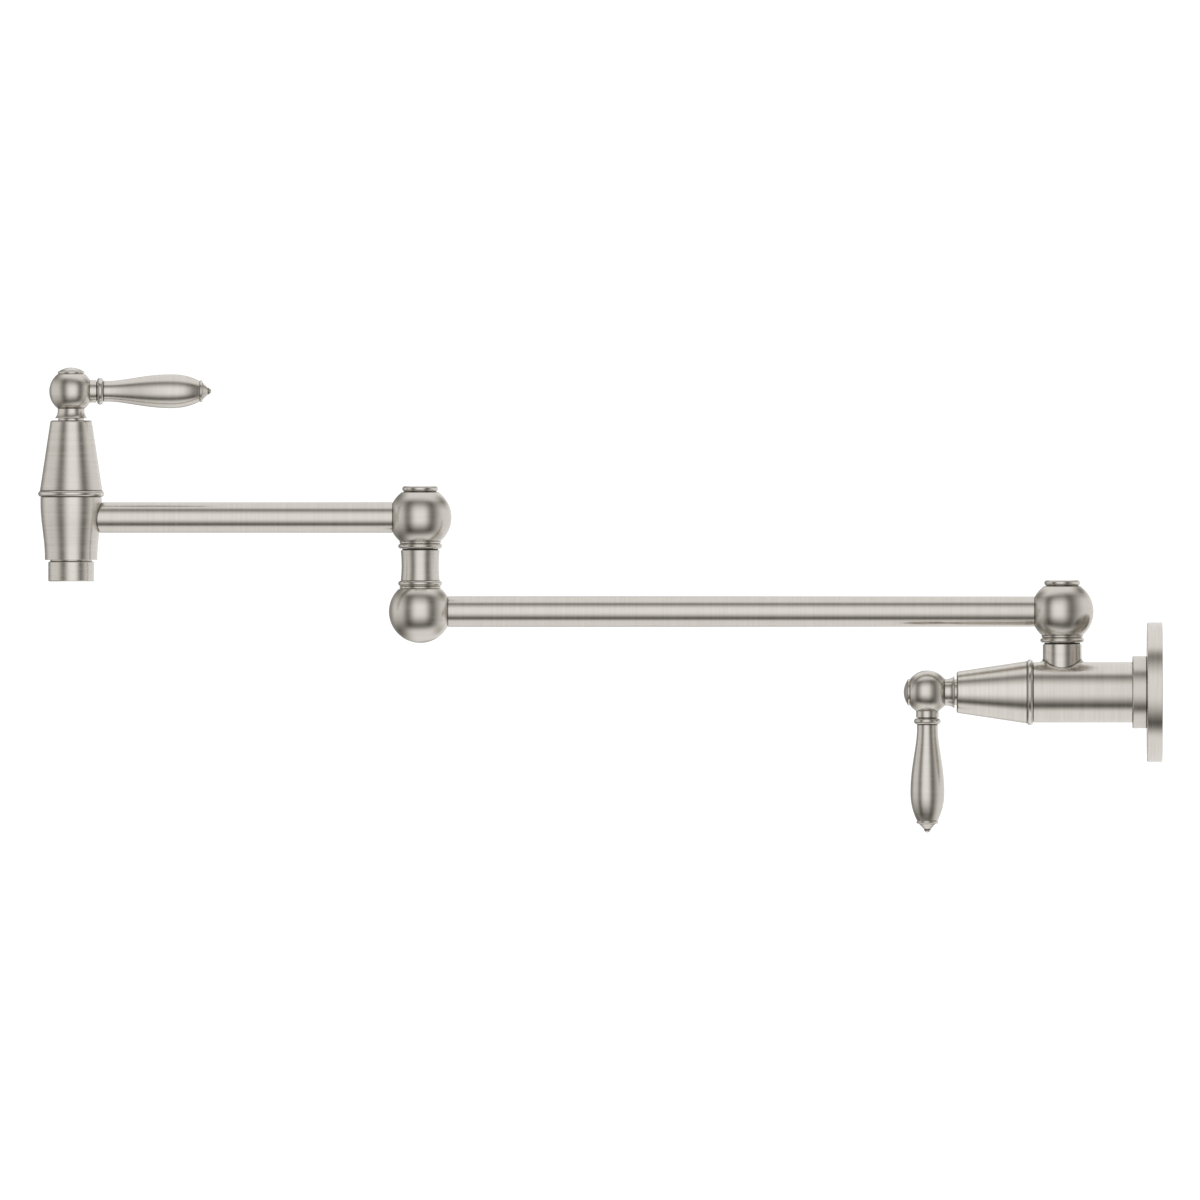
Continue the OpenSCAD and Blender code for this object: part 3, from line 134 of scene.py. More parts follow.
class Outline:
    """The half section of a turned piece: rows of radius, height, round and polish of each corner.

    It runs with the material on its left: outwards along the foot, up the outside, inwards along
    the top and down a bore. It starts and ends on the axis, or closes on itself.
    """

    def __init__(self, r: float, z: float, soft: float = 0.2, groove: float = 0.4) -> None:
        """Starts at a point.

        Args:
            r: Radius of the first point.
            z: Height of the first point.
            soft: Round that every later corner gets unless it is given its own.
            groove: How far from a hollow corner the painted shade reaches.
        """
        self.soft, self.groove, self.polish = soft, groove, 0.0
        self.joints: list[Spot] = []
        self.rows: list[tuple[float, ...]] = [(r, z, soft, 0.0)]

    def line(self, *corners: Spot, soft: float | None = None) -> "Outline":
        """Adds straight sides to each of the corners, rounded by soft if it is given."""
        self.rows += [(*corner, self.soft if soft is None else soft, self.polish) for corner in corners]
        return self

    def meets(self, *joints: Spot) -> "Outline":
        """Marks where another piece meets this one, which gets painted shade like a hollow corner."""
        self.joints += joints
        return self

    def arc(self, centre: Spot, end: Spot, soft: float | None = None) -> "Outline":
        """Adds the shorter arc from the last point to an end point.

        A point on it is c + rho(cos t, sin t), with t even between the angles of both ends and rho
        going evenly from one end's distance to the other's.

        Args:
            centre: Centre of the arc.
            end: Its last point.
            soft: Round of the corner where it ends.

        Returns:
            The outline itself.
        """
        a, b = np.subtract(self.rows[-1][:2], centre), np.subtract(end, centre)
        first = math.atan2(a[1], a[0])
        sweep = (math.atan2(b[1], b[0]) - first + math.pi) % (2 * math.pi) - math.pi
        t = np.linspace(0, 1, max(3, int(abs(sweep) / ARC_STEP) + 1) + 1)[1:]
        rho, angle = (1 - t) * np.hypot(*a) + t * np.hypot(*b), first + sweep * t
        way = np.stack([np.cos(angle), np.sin(angle)], axis=1)
        return self.line(*(np.array(centre) + rho[:, None] * way), soft=soft)

    def rim(self, centre: Spot, *ends: Spot) -> "Outline":
        """Adds polished arcs round one centre, to each of the ends in turn.

        Args:
            centre: Centre of the arcs.
            *ends: The last point of each.

        Returns:
            The outline itself.
        """
        self.polish = POLISHED
        for end in ends:
            self.arc(centre, end)
        self.polish = 0.0
        return self

    def bead(self, r: float, top: float) -> "Outline":
        """Adds a polished half-round bead that starts at the last height.

        Args:
            r: How far out it reaches.
            top: Height where it ends.

        Returns:
            The outline itself.
        """
        half = (top - self.rows[-1][1]) / 2
        self.line((r - half, top - 2 * half), soft=0.0)
        return self.rim((r - half, top - half), (r, top - half), (r - half, top))

    def relieved(self, r: float, end: float) -> "Outline":
        """Adds a side of radius r, the fine relief beside its parting line, and the end face."""
        low, edge = r - RELIEF, end - RELIEF_H
        return self.line((r, edge), soft=0.15).line((low, edge), (low, end), (0, end), soft=0.05)

    def grooved(self, hollows: Array, points: Array, wear_and_painted_light: Array, closed: bool) -> tuple[Array, Array]:
        """Paints shade near the hollow corners by lowering the wear, and ends the groove on each long side.

        At a distance d from a hollow corner the wear is 2 - 2d/w less, with w the groove's width, so
        the groove is painted dark with shade. A side longer than 2w gets a further point at w from an
        end that lies in a groove.

        Args:
            hollows: Places of the hollow corners and joints.
            points: The rounded outline.
            wear_and_painted_light: How worn its points are, from 0 to 1.
            closed: If the last point joins the first.

        Returns:
            The points and their wear, lowered to -1 where shade is painted in the grooves, with
            the further points among them.
        """
        off = np.linalg.norm(points[:, None] - hollows, axis=2).min(1, initial=math.inf)
        wear_and_painted_light = np.maximum(wear_and_painted_light - 2 * np.clip(1 - off / self.groove, 0, 1), -1)
        side = sides(points)[1]
        length = np.linalg.norm(side, axis=1)
        step = side * (self.groove / np.maximum(length, self.groove))[:, None]
        long = length > 2 * self.groove
        long[-1] &= closed
        first, last = (np.flatnonzero(long & (wear < 0)) for wear in (wear_and_painted_light, np.roll(wear_and_painted_light, -1)))
        extra = np.concatenate([(points + step)[first], (points + side - step)[last]])
        where = np.concatenate([first, last]) + 1
        return np.insert(points, where, extra, axis=0), np.insert(wear_and_painted_light, where, 0.0)

    def softened(self) -> tuple[Array, Array, Array, bool]:
        """Rounds the sharp corners and works out the normals.

        A sharp corner P between the directions b and c becomes P + k(s^2 c - (1-s)^2 b), with s from
        0 to 1 and k its round times tan(bend/2), but never more than 0.45 of a side. A point's
        normal is the mean of its two sides' normals, each weighted by the side's length, so that
        long flats stay flat. A sharp edge is worn bright.

        Returns:
            The points, their normals, their wear and painted shade from -1 to 1, and if the outline is
            closed.
        """
        rows = np.array(self.rows)
        rows = rows[fresh(rows[:, :2])]
        closed = bool(rows[0, 0] > CLOSE)
        if closed and np.hypot(*(rows[0] - rows[-1])[:2]) < CLOSE:
            rows = rows[:-1]
        points, rounds, shine = rows[:, :2], rows[:, 2], rows[:, 3:]
        back, ahead = sides(points)
        bend = np.arctan2(back[:, 0] * ahead[:, 1] - back[:, 1] * ahead[:, 0], (back * ahead).sum(1))
        hollow = (bend < -SHARP) & (points[:, 0] > 0)
        hollow[[0, -1]] = False
        hollows = np.concatenate([points[hollow], np.array(self.joints).reshape(-1, 2)])
        sharp = (np.abs(bend) > SHARP) & (rounds > 0)
        if not closed:
            sharp[[0, -1]] = False
        most = 0.45 * np.minimum(np.linalg.norm(back, axis=1), np.linalg.norm(ahead, axis=1))
        reach = np.minimum(rounds * np.tan(np.minimum(np.abs(bend), FOLD) / 2), most) * sharp
        s = np.linspace(0, 1, 5)[:, None]
        fan = s ** 2 * unit(ahead)[:, None] - (1 - s) ** 2 * unit(back)[:, None]
        points = (points[:, None] + reach[:, None, None] * fan).reshape(-1, 2)
        across = np.array([0.0, 0.8, 1.0, 0.8, 0.0])  # the wear over a rounded edge
        wear_and_painted_light = np.maximum(sharp[:, None] * across, shine).ravel()
        points, wear_and_painted_light = self.grooved(hollows, points, wear_and_painted_light, closed)
        kept = fresh(points)
        points, wear_and_painted_light = points[kept], wear_and_painted_light[kept]
        mean = np.add(*sides(points))  # a side turned a quarter is its normal times its length
        normals = np.stack([mean[:, 1], -mean[:, 0]], axis=1)
        if not closed:
            normals[0], normals[-1] = (0, -1), (0, 1)
        return points, unit(normals), wear_and_painted_light, closed


@dataclass
class Sheet:
    """A grid of surface points: rows run along a section and columns round an axis.

    Attributes:
        points: Places in the object's frame, as (rows, columns, 3).
        normals: Outward directions, in the same shape.
        turning: Local x and y, and the length along the section, which the brushing follows.
        wear_and_painted_light: How worn each point is, from -1 in a groove painted with shade to 1 on
        a bright edge, as (rows, columns).
        loop_rows: If the last row joins the first.
    """

    points: Array
    normals: Array
    turning: Array
    wear_and_painted_light: Array
    loop_rows: bool = False


def on_axis(axis: Axis, local: Array, normal: Array, wear_and_painted_light: Array, loop_rows: bool = False) -> Sheet:
    """Makes a sheet from a grid that was worked out along Z, and places it on an axis.

    Args:
        axis: The axis.
        local: The points of the grid.
        normal: Their normals.
        wear_and_painted_light: How worn they are, and below 0 how much shade is painted.
        loop_rows: If the last row joins the first.

    Returns:
        The sheet, with its length counted along the first column.
    """
    step = np.linalg.norm(np.diff(local[:, 0], axis=0, prepend=local[:1, 0]), axis=1)
    length = np.broadcast_to(np.cumsum(step)[:, None, None], (*wear_and_painted_light.shape, 1))
    turning = np.concatenate([local[..., :2], length], axis=2)
    return Sheet(axis.place(local), axis.turn(normal), turning, wear_and_painted_light, loop_rows)


def turned(outline: Outline, axis: Axis, steps: int = 96) -> Sheet:
    """Carries an outline round an axis: P(i, a) = (r_i cos a, r_i sin a, z_i).

    Args:
        outline: The half section.
        axis: The turning axis.
        steps: Number of steps round the axis.

    Returns:
        The surface, with columns evenly round the axis.
    """
    section, across, wear_and_painted_light, closed = outline.softened()
    a = angles(steps)
    spin = np.stack([np.cos(a), np.sin(a), np.ones(steps)], axis=1)
    local, normal = (flat[:, None, [0, 0, 1]] * spin for flat in (section, across))
    return on_axis(axis, local, normal, wear_and_painted_light[:, None] * np.ones(steps), closed)


def grid_normals(points: Array) -> Array:
    """Normals of a grid whose columns go round: the cross product of the steps round and along."""
    around = np.roll(points, -1, 1) - np.roll(points, 1, 1)
    return unit(np.cross(around, np.gradient(points, axis=0)))


def mesh_of(name: str, sheets: list[Sheet]) -> bpy.types.Mesh:
    """Joins sheets into one mesh, with a UV map round the axis and the attributes that finishes read.

    A row whose points all meet becomes one vertex with triangles round it. Columns always join up.

    Args:
        name: Name of the mesh.
        sheets: The surfaces, in millimetres.

    Returns:
        The mesh, in metres.
    """
    quads, tris, base = [], [], 0
    for sheet in sheets:
        rows, cols = sheet.wear_and_painted_light.shape
        ids = base + np.arange(rows * cols).reshape(rows, cols)
        pole = np.ptp(sheet.points, axis=1).max(axis=1) < CLOSE
        ids[pole] = ids[pole][:, :1]
        length = np.append(sheet.turning[:, 0, 2], sheet.turning[-1, 0, 2] + 1) * MM
        i, j = np.meshgrid(np.arange(rows - 1 + sheet.loop_rows), np.arange(cols), indexing="ij")
        corners = [np.stack([ids[row % rows, col % cols], col / cols, length[row]], -1)
                   for row, col in ((i, j), (i, j + 1), (i + 1, j + 1), (i + 1, j))]
        face = np.stack(corners, 2).reshape(-1, 4, 3)
        foot, head = face[:, 0, 0] == face[:, 1, 0], face[:, 2, 0] == face[:, 3, 0]
        quads.append(face[~(foot | head)])
        tris += [face[foot & ~head, 1:], face[head & ~foot, :3]]
        base += rows * cols
    loops = np.concatenate([part.reshape(-1, 3) for part in quads + tris])
    used, ids = np.unique(loops[:, 0].astype(int), return_inverse=True)
    cut = 4 * sum(len(part) for part in quads)
    values = [np.dstack([s.points, s.normals, s.turning, s.wear_and_painted_light]).reshape(-1, 10) for s in sheets]
    place, normal, turning, wear_and_painted_light = np.split(np.concatenate(values)[used], (3, 6, 9), axis=1)
    mesh = bpy.data.meshes.new(name)
    faces = ids[:cut].reshape(-1, 4).tolist() + ids[cut:].reshape(-1, 3).tolist()
    mesh.from_pydata((place * MM).tolist(), [], faces)
    mesh.uv_layers.new(name="round").data.foreach_set("uv", loops[:, 1:].astype(np.float32).ravel())
    for title, kind, key, value in (
            ("turning", "FLOAT_VECTOR", "vector", turning), ("wear_and_painted_light", "FLOAT", "value", wear_and_painted_light)):
        mesh.attributes.new(title, kind, "POINT").data.foreach_set(key, value.astype(np.float32).ravel())
    mesh.shade_smooth()
    mesh.normals_split_custom_set_from_vertices(normal.tolist())
    return mesh


def shown(name: str, data: bpy.types.ID) -> bpy.types.Object:
    """Makes an object and links it to the scene.

    Args:
        name: Its name.
        data: Its mesh or camera.

    Returns:
        The object.
    """
    made = bpy.data.objects.new(name, data)
    bpy.context.scene.collection.objects.link(made)
    return made


# Finishes

WHITE = "#FFFFFF"
GROOVE_SHADE = "#3D362D"  # painted shade in a groove or along a joint: a warm near black


def linear(colour: str) -> tuple[float, ...]:
    """Turns an sRGB hex colour into linear RGBA."""
    values = [int(colour[k:k + 2], 16) / 255 for k in (1, 3, 5)]
    return (*[v / 12.92 if v <= 0.04045 else ((v + 0.055) / 1.055) ** 2.4 for v in values], 1.0)


def cleared(holder: bpy.types.Material | bpy.types.World) -> Tree:
    """Empties the node tree of a material or a world.

    Args:
        holder: The material or world.

    Returns:
        Its node tree.
    """
    holder.use_nodes = True
    holder.node_tree.nodes.clear()
    return holder.node_tree


def add_node(tree: Tree, kind: str, inputs: dict[str | int, object] | None = None,
             **settings: object) -> bpy.types.NodeOutputs:
    """Adds one shader node with its settings, values and links.

    Args:
        tree: The node tree.
        kind: Blender's name of the node, without the ShaderNode before it.
        inputs: Values or output sockets for the node's inputs, by name or number.
        **settings: Properties of the node.

    Returns:
        The node's outputs.
    """
    node = tree.nodes.new("ShaderNode" + kind)
    for name, value in settings.items():
        setattr(node, name, value)
    for key, value in (inputs or {}).items():
        if isinstance(value, Socket):
            tree.links.new(value, node.inputs[key])
        else:
            node.inputs[key].default_value = value
    return node.outputs


@dataclass(frozen=True)
class Finish:
    """A finish: its name and slot, its pale and deep colour, and its smoothest and roughest."""

    title: str
    slot: Slot
    pale: str
    deep: str
    smooth: float
    rough: float
    metallic: float = 1.0
    depth_mm: float = 0.0004  # height of the pattern
    made: ClassVar[dict[str, bpy.types.Material]] = {}

    def pattern(self, tree: Tree) -> tuple[Socket, Socket, Socket]:
        """Mixes of colour and roughness and the pattern's height, each from 0 to 1."""
        raise NotImplementedError

    def grime(self, tree: Tree) -> Socket | None:
        """How much painted shade covers the colour, from 0 to 1, if the finish paints any."""
        return None

    def settings(self, tree: Tree) -> dict[str, object]:
        """Further inputs of the shader."""
        return {}

    def material(self) -> bpy.types.Material:
        """Makes the material, or gives the one made before.

        Returns:
            The material, whose colour, roughness and bump follow the pattern.
        """
        if self.title in self.made:
            return self.made[self.title]
        self.made[self.title] = material = bpy.data.materials.new(self.title)
        tree = cleared(material)
        tint, grain, height = self.pattern(tree)
        colour = add_node(tree, "Mix", {0: tint, 6: linear(self.deep), 7: linear(self.pale)},
                          data_type="RGBA")[2]
        # painted shade: grooves and joints are darkened towards the groove's shade colour
        grime = self.grime(tree)
        if grime is not None:
            colour = add_node(tree, "Mix", {0: grime, 6: colour, 7: linear(GROOVE_SHADE)}, data_type="RGBA")[2]
        rough = add_node(tree, "MapRange", {
            "Value": grain, "To Min": self.smooth, "To Max": self.rough}, clamp=False)[0]
        bump = add_node(tree, "Bump", {"Strength": 1.0, "Distance": self.depth_mm * MM, "Height": height})[0]
        shader = add_node(tree, "BsdfPrincipled", {
            "Base Color": colour, "Metallic": self.metallic, "Roughness": rough, "Normal": bump,
            **self.settings(tree)})[0]
        add_node(tree, "OutputMaterial", {"Surface": shader})
        return material


@dataclass(frozen=True)
class BrushedNickel(Finish):
    """Nickel plate brushed on the lathe with a fine abrasive belt, then lacquered satin.

    The belt leaves fine rings round the turning axis, which pull highlights out along the axis and
    comb the edges of dark reflections. Corners and beads are wiped brighter and smoother, and
    shade is painted into the grooves and along the joints.
    """

    line_mm: float = 1.3  # the real scratches are 0.05 mm apart: drawn as coarse as a render shows
    band_mm: float = 9.0  # slow change of the belt's pressure along the piece
    line_round: float = 0.035  # steps of the line noise for each mm round the axis: nearly whole rings
    band_round: float = 0.02  # the same for the bands
    contrast: Spot = (0.3, 0.7)  # the range of the noise that is spread over 0 to 1
    band_share: float = 0.35  # how much of the roughness follows the bands
    edge_pale: float = 0.4  # how far a worn edge goes to the pale colour
    edge_smooth: float = 0.8  # how far it goes to the smooth end
    pull: float = 0.5  # how far the scratches stretch a highlight

    def pattern(self, tree: Tree) -> tuple[Socket, Socket, Socket]:
        """Rings from noise that is stretched round the axis, slow bands, and worn corners.

        Args:
            tree: The material's node tree.

        Returns:
            Mixes of colour and roughness, and the height of the rings.
        """
        turning = add_node(tree, "Attribute", attribute_name="turning")["Vector"]
        wear_and_painted_light = add_node(tree, "Attribute", attribute_name="wear_and_painted_light")["Fac"]
        noises = []
        for pitch, around in ((self.line_mm, self.line_round), (self.band_mm, self.band_round)):
            place = add_node(tree, "Mapping", {"Vector": turning, "Scale": (around, around, 1 / pitch)})[0]
            noise = add_node(tree, "TexNoise", {"Vector": place, "Scale": 1.0, "Detail": 1.0})[0]
            noises.append(add_node(tree, "MapRange", {
                "Value": noise, "From Min": self.contrast[0], "From Max": self.contrast[1]})[0])
        lines, bands = noises
        tint = add_node(tree, "Math", {0: wear_and_painted_light, 1: self.edge_pale, 2: lines},
                        operation="MULTIPLY_ADD", use_clamp=True)[0]
        both = add_node(tree, "Mix", {0: self.band_share, 2: lines, 3: bands})[0]
        grain = add_node(tree, "Math", {0: wear_and_painted_light, 1: -self.edge_smooth, 2: both}, operation="MULTIPLY_ADD")[0]
        return tint, grain, lines

    def grime(self, tree: Tree) -> Socket:
        """Shade is painted in the grooves, where the wear and painted light falls below 0."""
        wear_and_painted_light = add_node(tree, "Attribute", attribute_name="wear_and_painted_light")["Fac"]
        return add_node(tree, "Math", {0: wear_and_painted_light, 1: -1.0}, operation="MULTIPLY", use_clamp=True)[0]

    def settings(self, tree: Tree) -> dict[str, object]:
        """The tangent runs round the axis and is turned a quarter, so highlights stretch along it."""
        tangent = add_node(tree, "Tangent", direction_type="UV_MAP", uv_map="round")[0]
        return {"Anisotropic": self.pull, "Anisotropic Rotation": 0.25, "Tangent": tangent}


@dataclass(frozen=True)
class Grained(Finish):
    """A finish whose pattern has no turning axis: clouds over a fine grain."""

    grain_mm: float = 0.4
    cloud_mm: float = 8.0
    stretch: Point = (1.0, 1.0, 1.0)
    grain_share: float = 0.3  # how much of the colour follows the grain
    seam: Spot | None = None  # X in mm where the painted shade along a joint starts and is darkest
    # how dark the painted shade along the joint gets, from 0 to 1
    seam_tone: float = 0.8

    def pattern(self, tree: Tree) -> tuple[Socket, Socket, Socket]:
        """Fine noise for roughness and height, and clouds for the colour, on Object coordinates.

        Args:
            tree: The material's node tree.

        Returns:
            Mixes of colour and roughness, and the height of the grain.
        """
        place = add_node(tree, "TexCoord")["Object"]
        spread = add_node(tree, "Mapping", {"Vector": place, "Scale": self.stretch})[0]
        grain, cloud = (
            add_node(tree, "TexNoise", {"Vector": vector, "Scale": 1 / (size * MM), "Detail": detail})[0]
            for vector, size, detail in ((spread, self.grain_mm, 2.0), (place, self.cloud_mm, 3.0)))
        return add_node(tree, "Mix", {0: self.grain_share, 2: cloud, 3: grain})[0], grain, grain

    def grime(self, tree: Tree) -> Socket | None:
        """Painted shade lies along a joint across X, if the piece has one.

        Args:
            tree: The material's node tree.

        Returns:
            How dark the shade is painted, from 0 to 1.
        """
        if self.seam is None:
            return None
        x = add_node(tree, "SeparateXYZ", {0: add_node(tree, "TexCoord")["Object"]})[0]
        return add_node(tree, "MapRange", {
            "Value": x, "From Min": self.seam[0] * MM, "From Max": self.seam[1] * MM,
            "To Min": 0.0, "To Max": self.seam_tone})[0]


# Rings of the belt show as faint stripes round the body, the plate and the cone in front of it
NICKEL_TURNED = BrushedNickel("brushed_nickel_turned", Slot.NICKEL, "#E6E2DC", "#DED9D2", 0.20, 0.26)
# The spout's cone and barrel are brushed with a coarser belt, which combs their dark reflections
NICKEL_COMBED = BrushedNickel("brushed_nickel_combed", Slot.NICKEL, "#E8E4DE", "#DDD8D1", 0.19, 0.30,
                              depth_mm=0.0006)
# Tubes are brushed more lightly, so the reflections along them stay straight and smooth
NICKEL_TUBE = BrushedNickel("brushed_nickel_tube", Slot.NICKEL, "#E0DCD6", "#DAD5CE", 0.19, 0.25, pull=0.3)
# Balls, levers and beads are brushed finer, so they look smoother and a little darker
NICKEL_SATIN = BrushedNickel("brushed_nickel_satin", Slot.NICKEL, "#E2DED8", "#DCD7D0", 0.20, 0.27, pull=0.2)
# The sleeve of the aerator is brushed after the rest, so it comes out a shade paler
NICKEL_SLEEVE = BrushedNickel("brushed_nickel_sleeve", Slot.NICKEL, "#E8E4DE", "#DCD8D1", 0.20, 0.32,
                              depth_mm=0.0008, pull=0.4)
# The collar, which stays the CAD node, shows its rings across X from stretched noise, and painted shade where
# it meets the plate
NICKEL_RING = Grained("brushed_nickel_ring", Slot.NICKEL, "#E2DED8", "#D9D4CD", 0.20, 0.30, depth_mm=0.0005,
                      grain_mm=1.3, cloud_mm=6.0, stretch=(1.0, 0.03, 0.03), seam=(-9.0, -8.7))
# Bare turned brass shows warm and slightly cloudy, with a dull start of tarnish
BRASS_TURNED = Grained("turned_brass", Slot.BRASS, "#D9B871", "#B8924F", 0.22, 0.42, depth_mm=0.003)
# Rolled stainless sheet and screws: cool grey with a fine matt grain
STEEL_ROLLED = Grained("rolled_stainless_steel", Slot.STEEL, "#C6C7C8", "#A9ABAD", 0.28, 0.44, depth_mm=0.002,
                       grain_mm=0.5, stretch=(1.0, 1.0, 0.12))
# Moulded nitrile rubber: near black, with a soft bloom
RUBBER_NITRILE = Grained("moulded_nitrile_rubber", Slot.RUBBER, "#2C2B2A", "#171716", 0.55, 0.8, 0.0, 0.006,
                         grain_mm=0.3)
# Lapped alumina ceramic: ivory white and glassy, with faint clouds
CERAMIC_LAPPED = Grained("lapped_alumina", Slot.CERAMIC, "#F1EEE6", "#E4DFD3", 0.08, 0.16, 0.0, 0.0005,
                         grain_mm=0.2)
# Moulded white acetal: milky, with the faint orange peel of the mould
ACETAL_WHITE = Grained("moulded_white_acetal", Slot.PLASTIC, "#E9E8E3", "#DCDAD3", 0.32, 0.46, 0.0, 0.004,
                       grain_mm=0.6)
# Moulded black acetal of the glide rings: a real near black part, which also paints the shade in the gap
# under each ball as a dark line
ACETAL_BLACK = Grained("moulded_black_acetal", Slot.GLIDE, "#35332F", "#24231F", 0.4, 0.55, 0.0, 0.004,
                       grain_mm=0.6)
# Matt paint on the studio floor, with the faint nap of a roller
FLOOR_PAINT = Grained("matt_floor_paint", Slot.PLASTIC, "#F4F3F1", "#EFEEEC", 0.7, 0.85, 0.0, 0.05,
                      grain_mm=3.0, cloud_mm=160.0)


# Sub-assemblies


@dataclass
class SubAssembly:
    """A group of pieces that belong together.

    Attributes:
        staying: The CAD nodes that stay in view or inside, with the finish of each. Braces in a
            name stand for the place.
        place: Where the group sits, if the object has it twice.
        pieces: The pieces it has built, with the finish that each of them gets.
    """

    staying: ClassVar[dict[str, Finish]] = {}
    place: ClassVar[str] = ""
    pieces: list[tuple[bpy.types.Object, Finish]] = field(default_factory=list, init=False)

    def build(self) -> None:
        """Builds the pieces."""
        raise NotImplementedError

    def add(self, name: str, body: Body, finish: Finish, sheets: list[Sheet], *nodes: str) -> None:
        """Makes one piece, lets it ride on its body and stand for CAD nodes.

        Args:
            name: Name of the piece.
            body: The body that it rides on.
            finish: Its finish.
            sheets: Its surfaces.
            *nodes: The CAD nodes that it stands for.
        """
        piece = shown(name, mesh_of(name, sheets))
        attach(piece, body.value)
        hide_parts(*nodes)
        self.pieces.append((piece, finish))

    def dress(self) -> None:
        """Gives each piece and each CAD node that stays its finish."""
        for piece, finish in self.pieces:
            piece.data.materials.append(finish.material())
            log.info("%s: %d faces, %s", piece.name, len(piece.data.polygons), finish.title)
        for node, finish in self.staying.items():
            name = node.format(self.place)
            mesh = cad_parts[name].data
            mesh.materials.clear()
            mesh.materials.append(finish.material())
            log.info("%s: CAD node, %s", name, finish.title)


@dataclass
class WallFitting(SubAssembly):
    """The cover plate on the wall, with the collar that holds it and the bracket behind it.

    The collar keeps its CAD shape, because a grub screw sits in its side.
    """

    staying = {"flange_collar": NICKEL_RING, "flange_gasket": RUBBER_NITRILE,
               "mounting_bracket": STEEL_ROLLED, "collar_set_screw": STEEL_ROLLED}
    plate_r: float = 37.7
    plate_depth: float = 8.2
    plate_front: float = 2.2
    rim: float = 3.7
    edge: float = 0.6
    bore_r: float = 14.05
    axis: Axis = Axis(along=(-1.0, 0.0, 0.0))

    def build(self) -> None:
        """Turns the cover plate: a shallow cup with its rim on the wall."""
        inner, depth, roof = self.plate_r - self.rim, self.plate_depth, self.plate_depth - self.plate_front
        cup = Outline(inner, 0, soft=0.25).line((self.plate_r, 0), soft=0.3)
        cup.line((self.plate_r, depth), soft=self.edge)
        cup.line((self.bore_r, depth), (self.bore_r, roof), (inner, roof), (inner, 0))
        self.add("cover_plate", Body.WALL, NICKEL_TURNED, [turned(cup, self.axis, 160)], "wall_flange")


